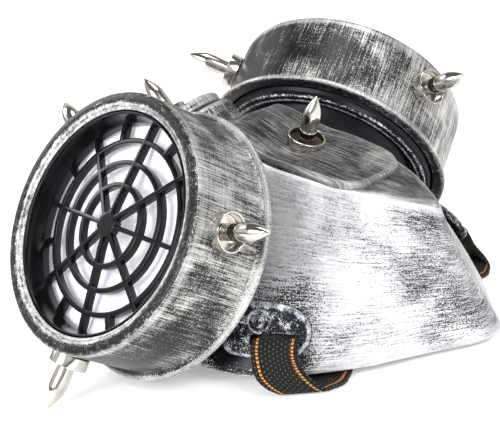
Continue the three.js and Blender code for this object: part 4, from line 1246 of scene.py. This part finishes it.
def strap_stations():
    """The strap's middle line and the direction across it: through the left tab, then its run."""
    axes = tab_axes(1)
    out = STRAP_ROOM + TAB_THICK + GAP + STRAP_RISE / 2 + STRAP_THICK / 2
    behind = GAP + STRAP_RISE + STRAP_THICK / 2
    bar, lip = TAB_LOWER + SLOT_MIDDLE, SLOT_HEIGHT / 2
    on_tab = np.array([
        (-11.0, behind), (-bar, behind), (-lip * 0.85, behind), (-lip * 0.1, STRAP_ROOM),
        (-lip * 0.1, STRAP_ROOM + TAB_THICK), (-lip * 0.85, out), (-bar, out),
    ])  # fmt: skip
    at = in_frame(np.stack([0 * on_tab[:, 0], on_tab[:, 0], on_tab[:, 1]], 1), axes)
    across = np.repeat(axes[1][:1], len(on_tab), 0)
    y = scaled(STRAP_RUN[:, 1], CHIN, NOSE)
    level = REST_LEVEL + STRAP_RUN[:, 2] * STRAP_WIDTH / 2
    run = np.stack([STRAP_RUN[:, 0] * CHEEK, y, (level - REST_NORMAL[1] * y) / REST_NORMAL[2]], 1)
    slant, standing = STRAP_RUN[:, 3:4], STRAP_RUN[:, 4:5]
    lean = unit(X_AXIS * slant + REST_ALONG * (1 - standing) + REST_NORMAL * standing)
    return np.vstack([at, run]), np.vstack([across, lean])


def strap_piece():
    """A flat woven band: a lens-edged section, carried along the curve
    through the stations. The pattern's numbers are the length along the band and the width."""
    at, across = strap_stations()
    mirror = np.array([-1, 1, 1])
    at = np.vstack([at, (at * mirror)[::-1]])
    across = np.vstack([across, (across * mirror)[::-1]])
    count, columns = 900, 33
    share = np.linspace(0, 1, count)
    line = curve_points(at, share)
    wide = unit(curve_points(across, share))
    tangent = unit(np.gradient(line, axis=0))
    through = unit(np.cross(tangent, wide))
    v = np.linspace(-1, 1, columns)
    half = STRAP_THICK / 2 * (0.25 + 0.75 * (1 - np.abs(v) ** 14) ** 0.5)
    loop_v = np.concatenate([v, v[::-1]])
    loop_h = np.concatenate([half, -half[::-1]])
    sideways = wide[:, None] * (loop_v * STRAP_WIDTH / 2)[None, :, None]
    points = line[:, None] + sideways + through[:, None] * loop_h[None, :, None]
    length = np.concatenate([[0], np.cumsum(np.linalg.norm(np.diff(line, axis=0), axis=1))])
    lay = np.zeros(points.shape)
    lay[:, :, 0] = length[:, None]
    lay[:, :, 1] = (loop_v * STRAP_WIDTH / 2)[None]
    faces = grid_faces(count, len(loop_v), False, True)
    near = np.arange(columns - 1)
    caps = np.stack([near, near + 1, 2 * columns - 2 - near, 2 * columns - 1 - near], 1)
    faces = np.vstack([faces, caps, caps[:, ::-1] + (count - 1) * len(loop_v)])
    make_piece("woven_strap", Part(points, faces, lay), ELASTIC, ["elastic_strap"], None, 60)


strap_piece()


# Table, light and air
def make_stage():
    """A wide pale table, and soft lights: one from the right, one along the near drum's axis,
    one from the left and one overhead, and a surround with a pale band between darker ones."""
    size = 6.0
    mesh = bpy.data.meshes.new("table")
    corners = [(-size, -size, 0), (size, -size, 0), (size, size, 0), (-size, size, 0)]
    mesh.from_pydata(corners, [], [(0, 1, 2, 3)])
    material, tree, shader = new_material("table_white")
    speck = noise(tree, object_place(tree), 900.0, 3.0)
    plug(tree, shader.inputs["Base Color"], mixed(tree, speck, (0.93, 0.93, 0.92, 1), (0.96, 0.96, 0.95, 1)))
    shader.inputs["Roughness"].default_value = 0.6
    shader.inputs["Emission Color"].default_value = (1, 1, 1, 1)
    shader.inputs["Emission Strength"].default_value = 0.35
    mesh.materials.append(material)
    table = bpy.data.objects.new("table", mesh)
    bpy.context.scene.collection.objects.link(table)
    # name, place, size, power, aimed at
    for name, place, width, power in (
        ("right_softbox", (0.35, 1.1, 0.85), 0.6, 9.0),
        ("drum_softbox", (1.25, -0.15, 0.75), 0.7, 14.0),
        ("left_softbox", (0.1, -1.2, 0.8), 0.7, 6.0),
        ("top_softbox", (-0.3, 0.1, 1.3), 0.6, 9.0),
    ):
        light = bpy.data.lights.new(name, "AREA")
        light.size, light.energy = width, power
        lamp = bpy.data.objects.new(name, light)
        lamp.location = place
        aim = Vector((0, 0, 0.05)) - Vector(place)
        lamp.rotation_mode = "QUATERNION"
        lamp.rotation_quaternion = aim.to_track_quat("-Z", "Y")
        bpy.context.scene.collection.objects.link(lamp)
    world = bpy.data.worlds.new("room")
    bpy.context.scene.world = world
    world.use_nodes = True
    tree = world.node_tree
    background = tree.nodes["Background"]
    split = tree.nodes.new("ShaderNodeSeparateXYZ")
    plug(tree, split.inputs[0], tree.nodes.new("ShaderNodeTexCoord").outputs["Generated"])
    low_band = ramp(tree, split.outputs["Z"], 0.02, 0.28)
    high_band = ramp(tree, split.outputs["Z"], 0.45, 0.7)
    middle = mixed(tree, low_band, (0.06, 0.055, 0.05, 1), (0.85, 0.86, 0.88, 1))
    plug(tree, background.inputs["Color"], mixed(tree, high_band, middle, (0.16, 0.15, 0.15, 1)))
    background.inputs["Strength"].default_value = 1.0


make_stage()
bpy.context.scene.view_settings.view_transform = "Standard"
bpy.context.scene.view_settings.look = "None"
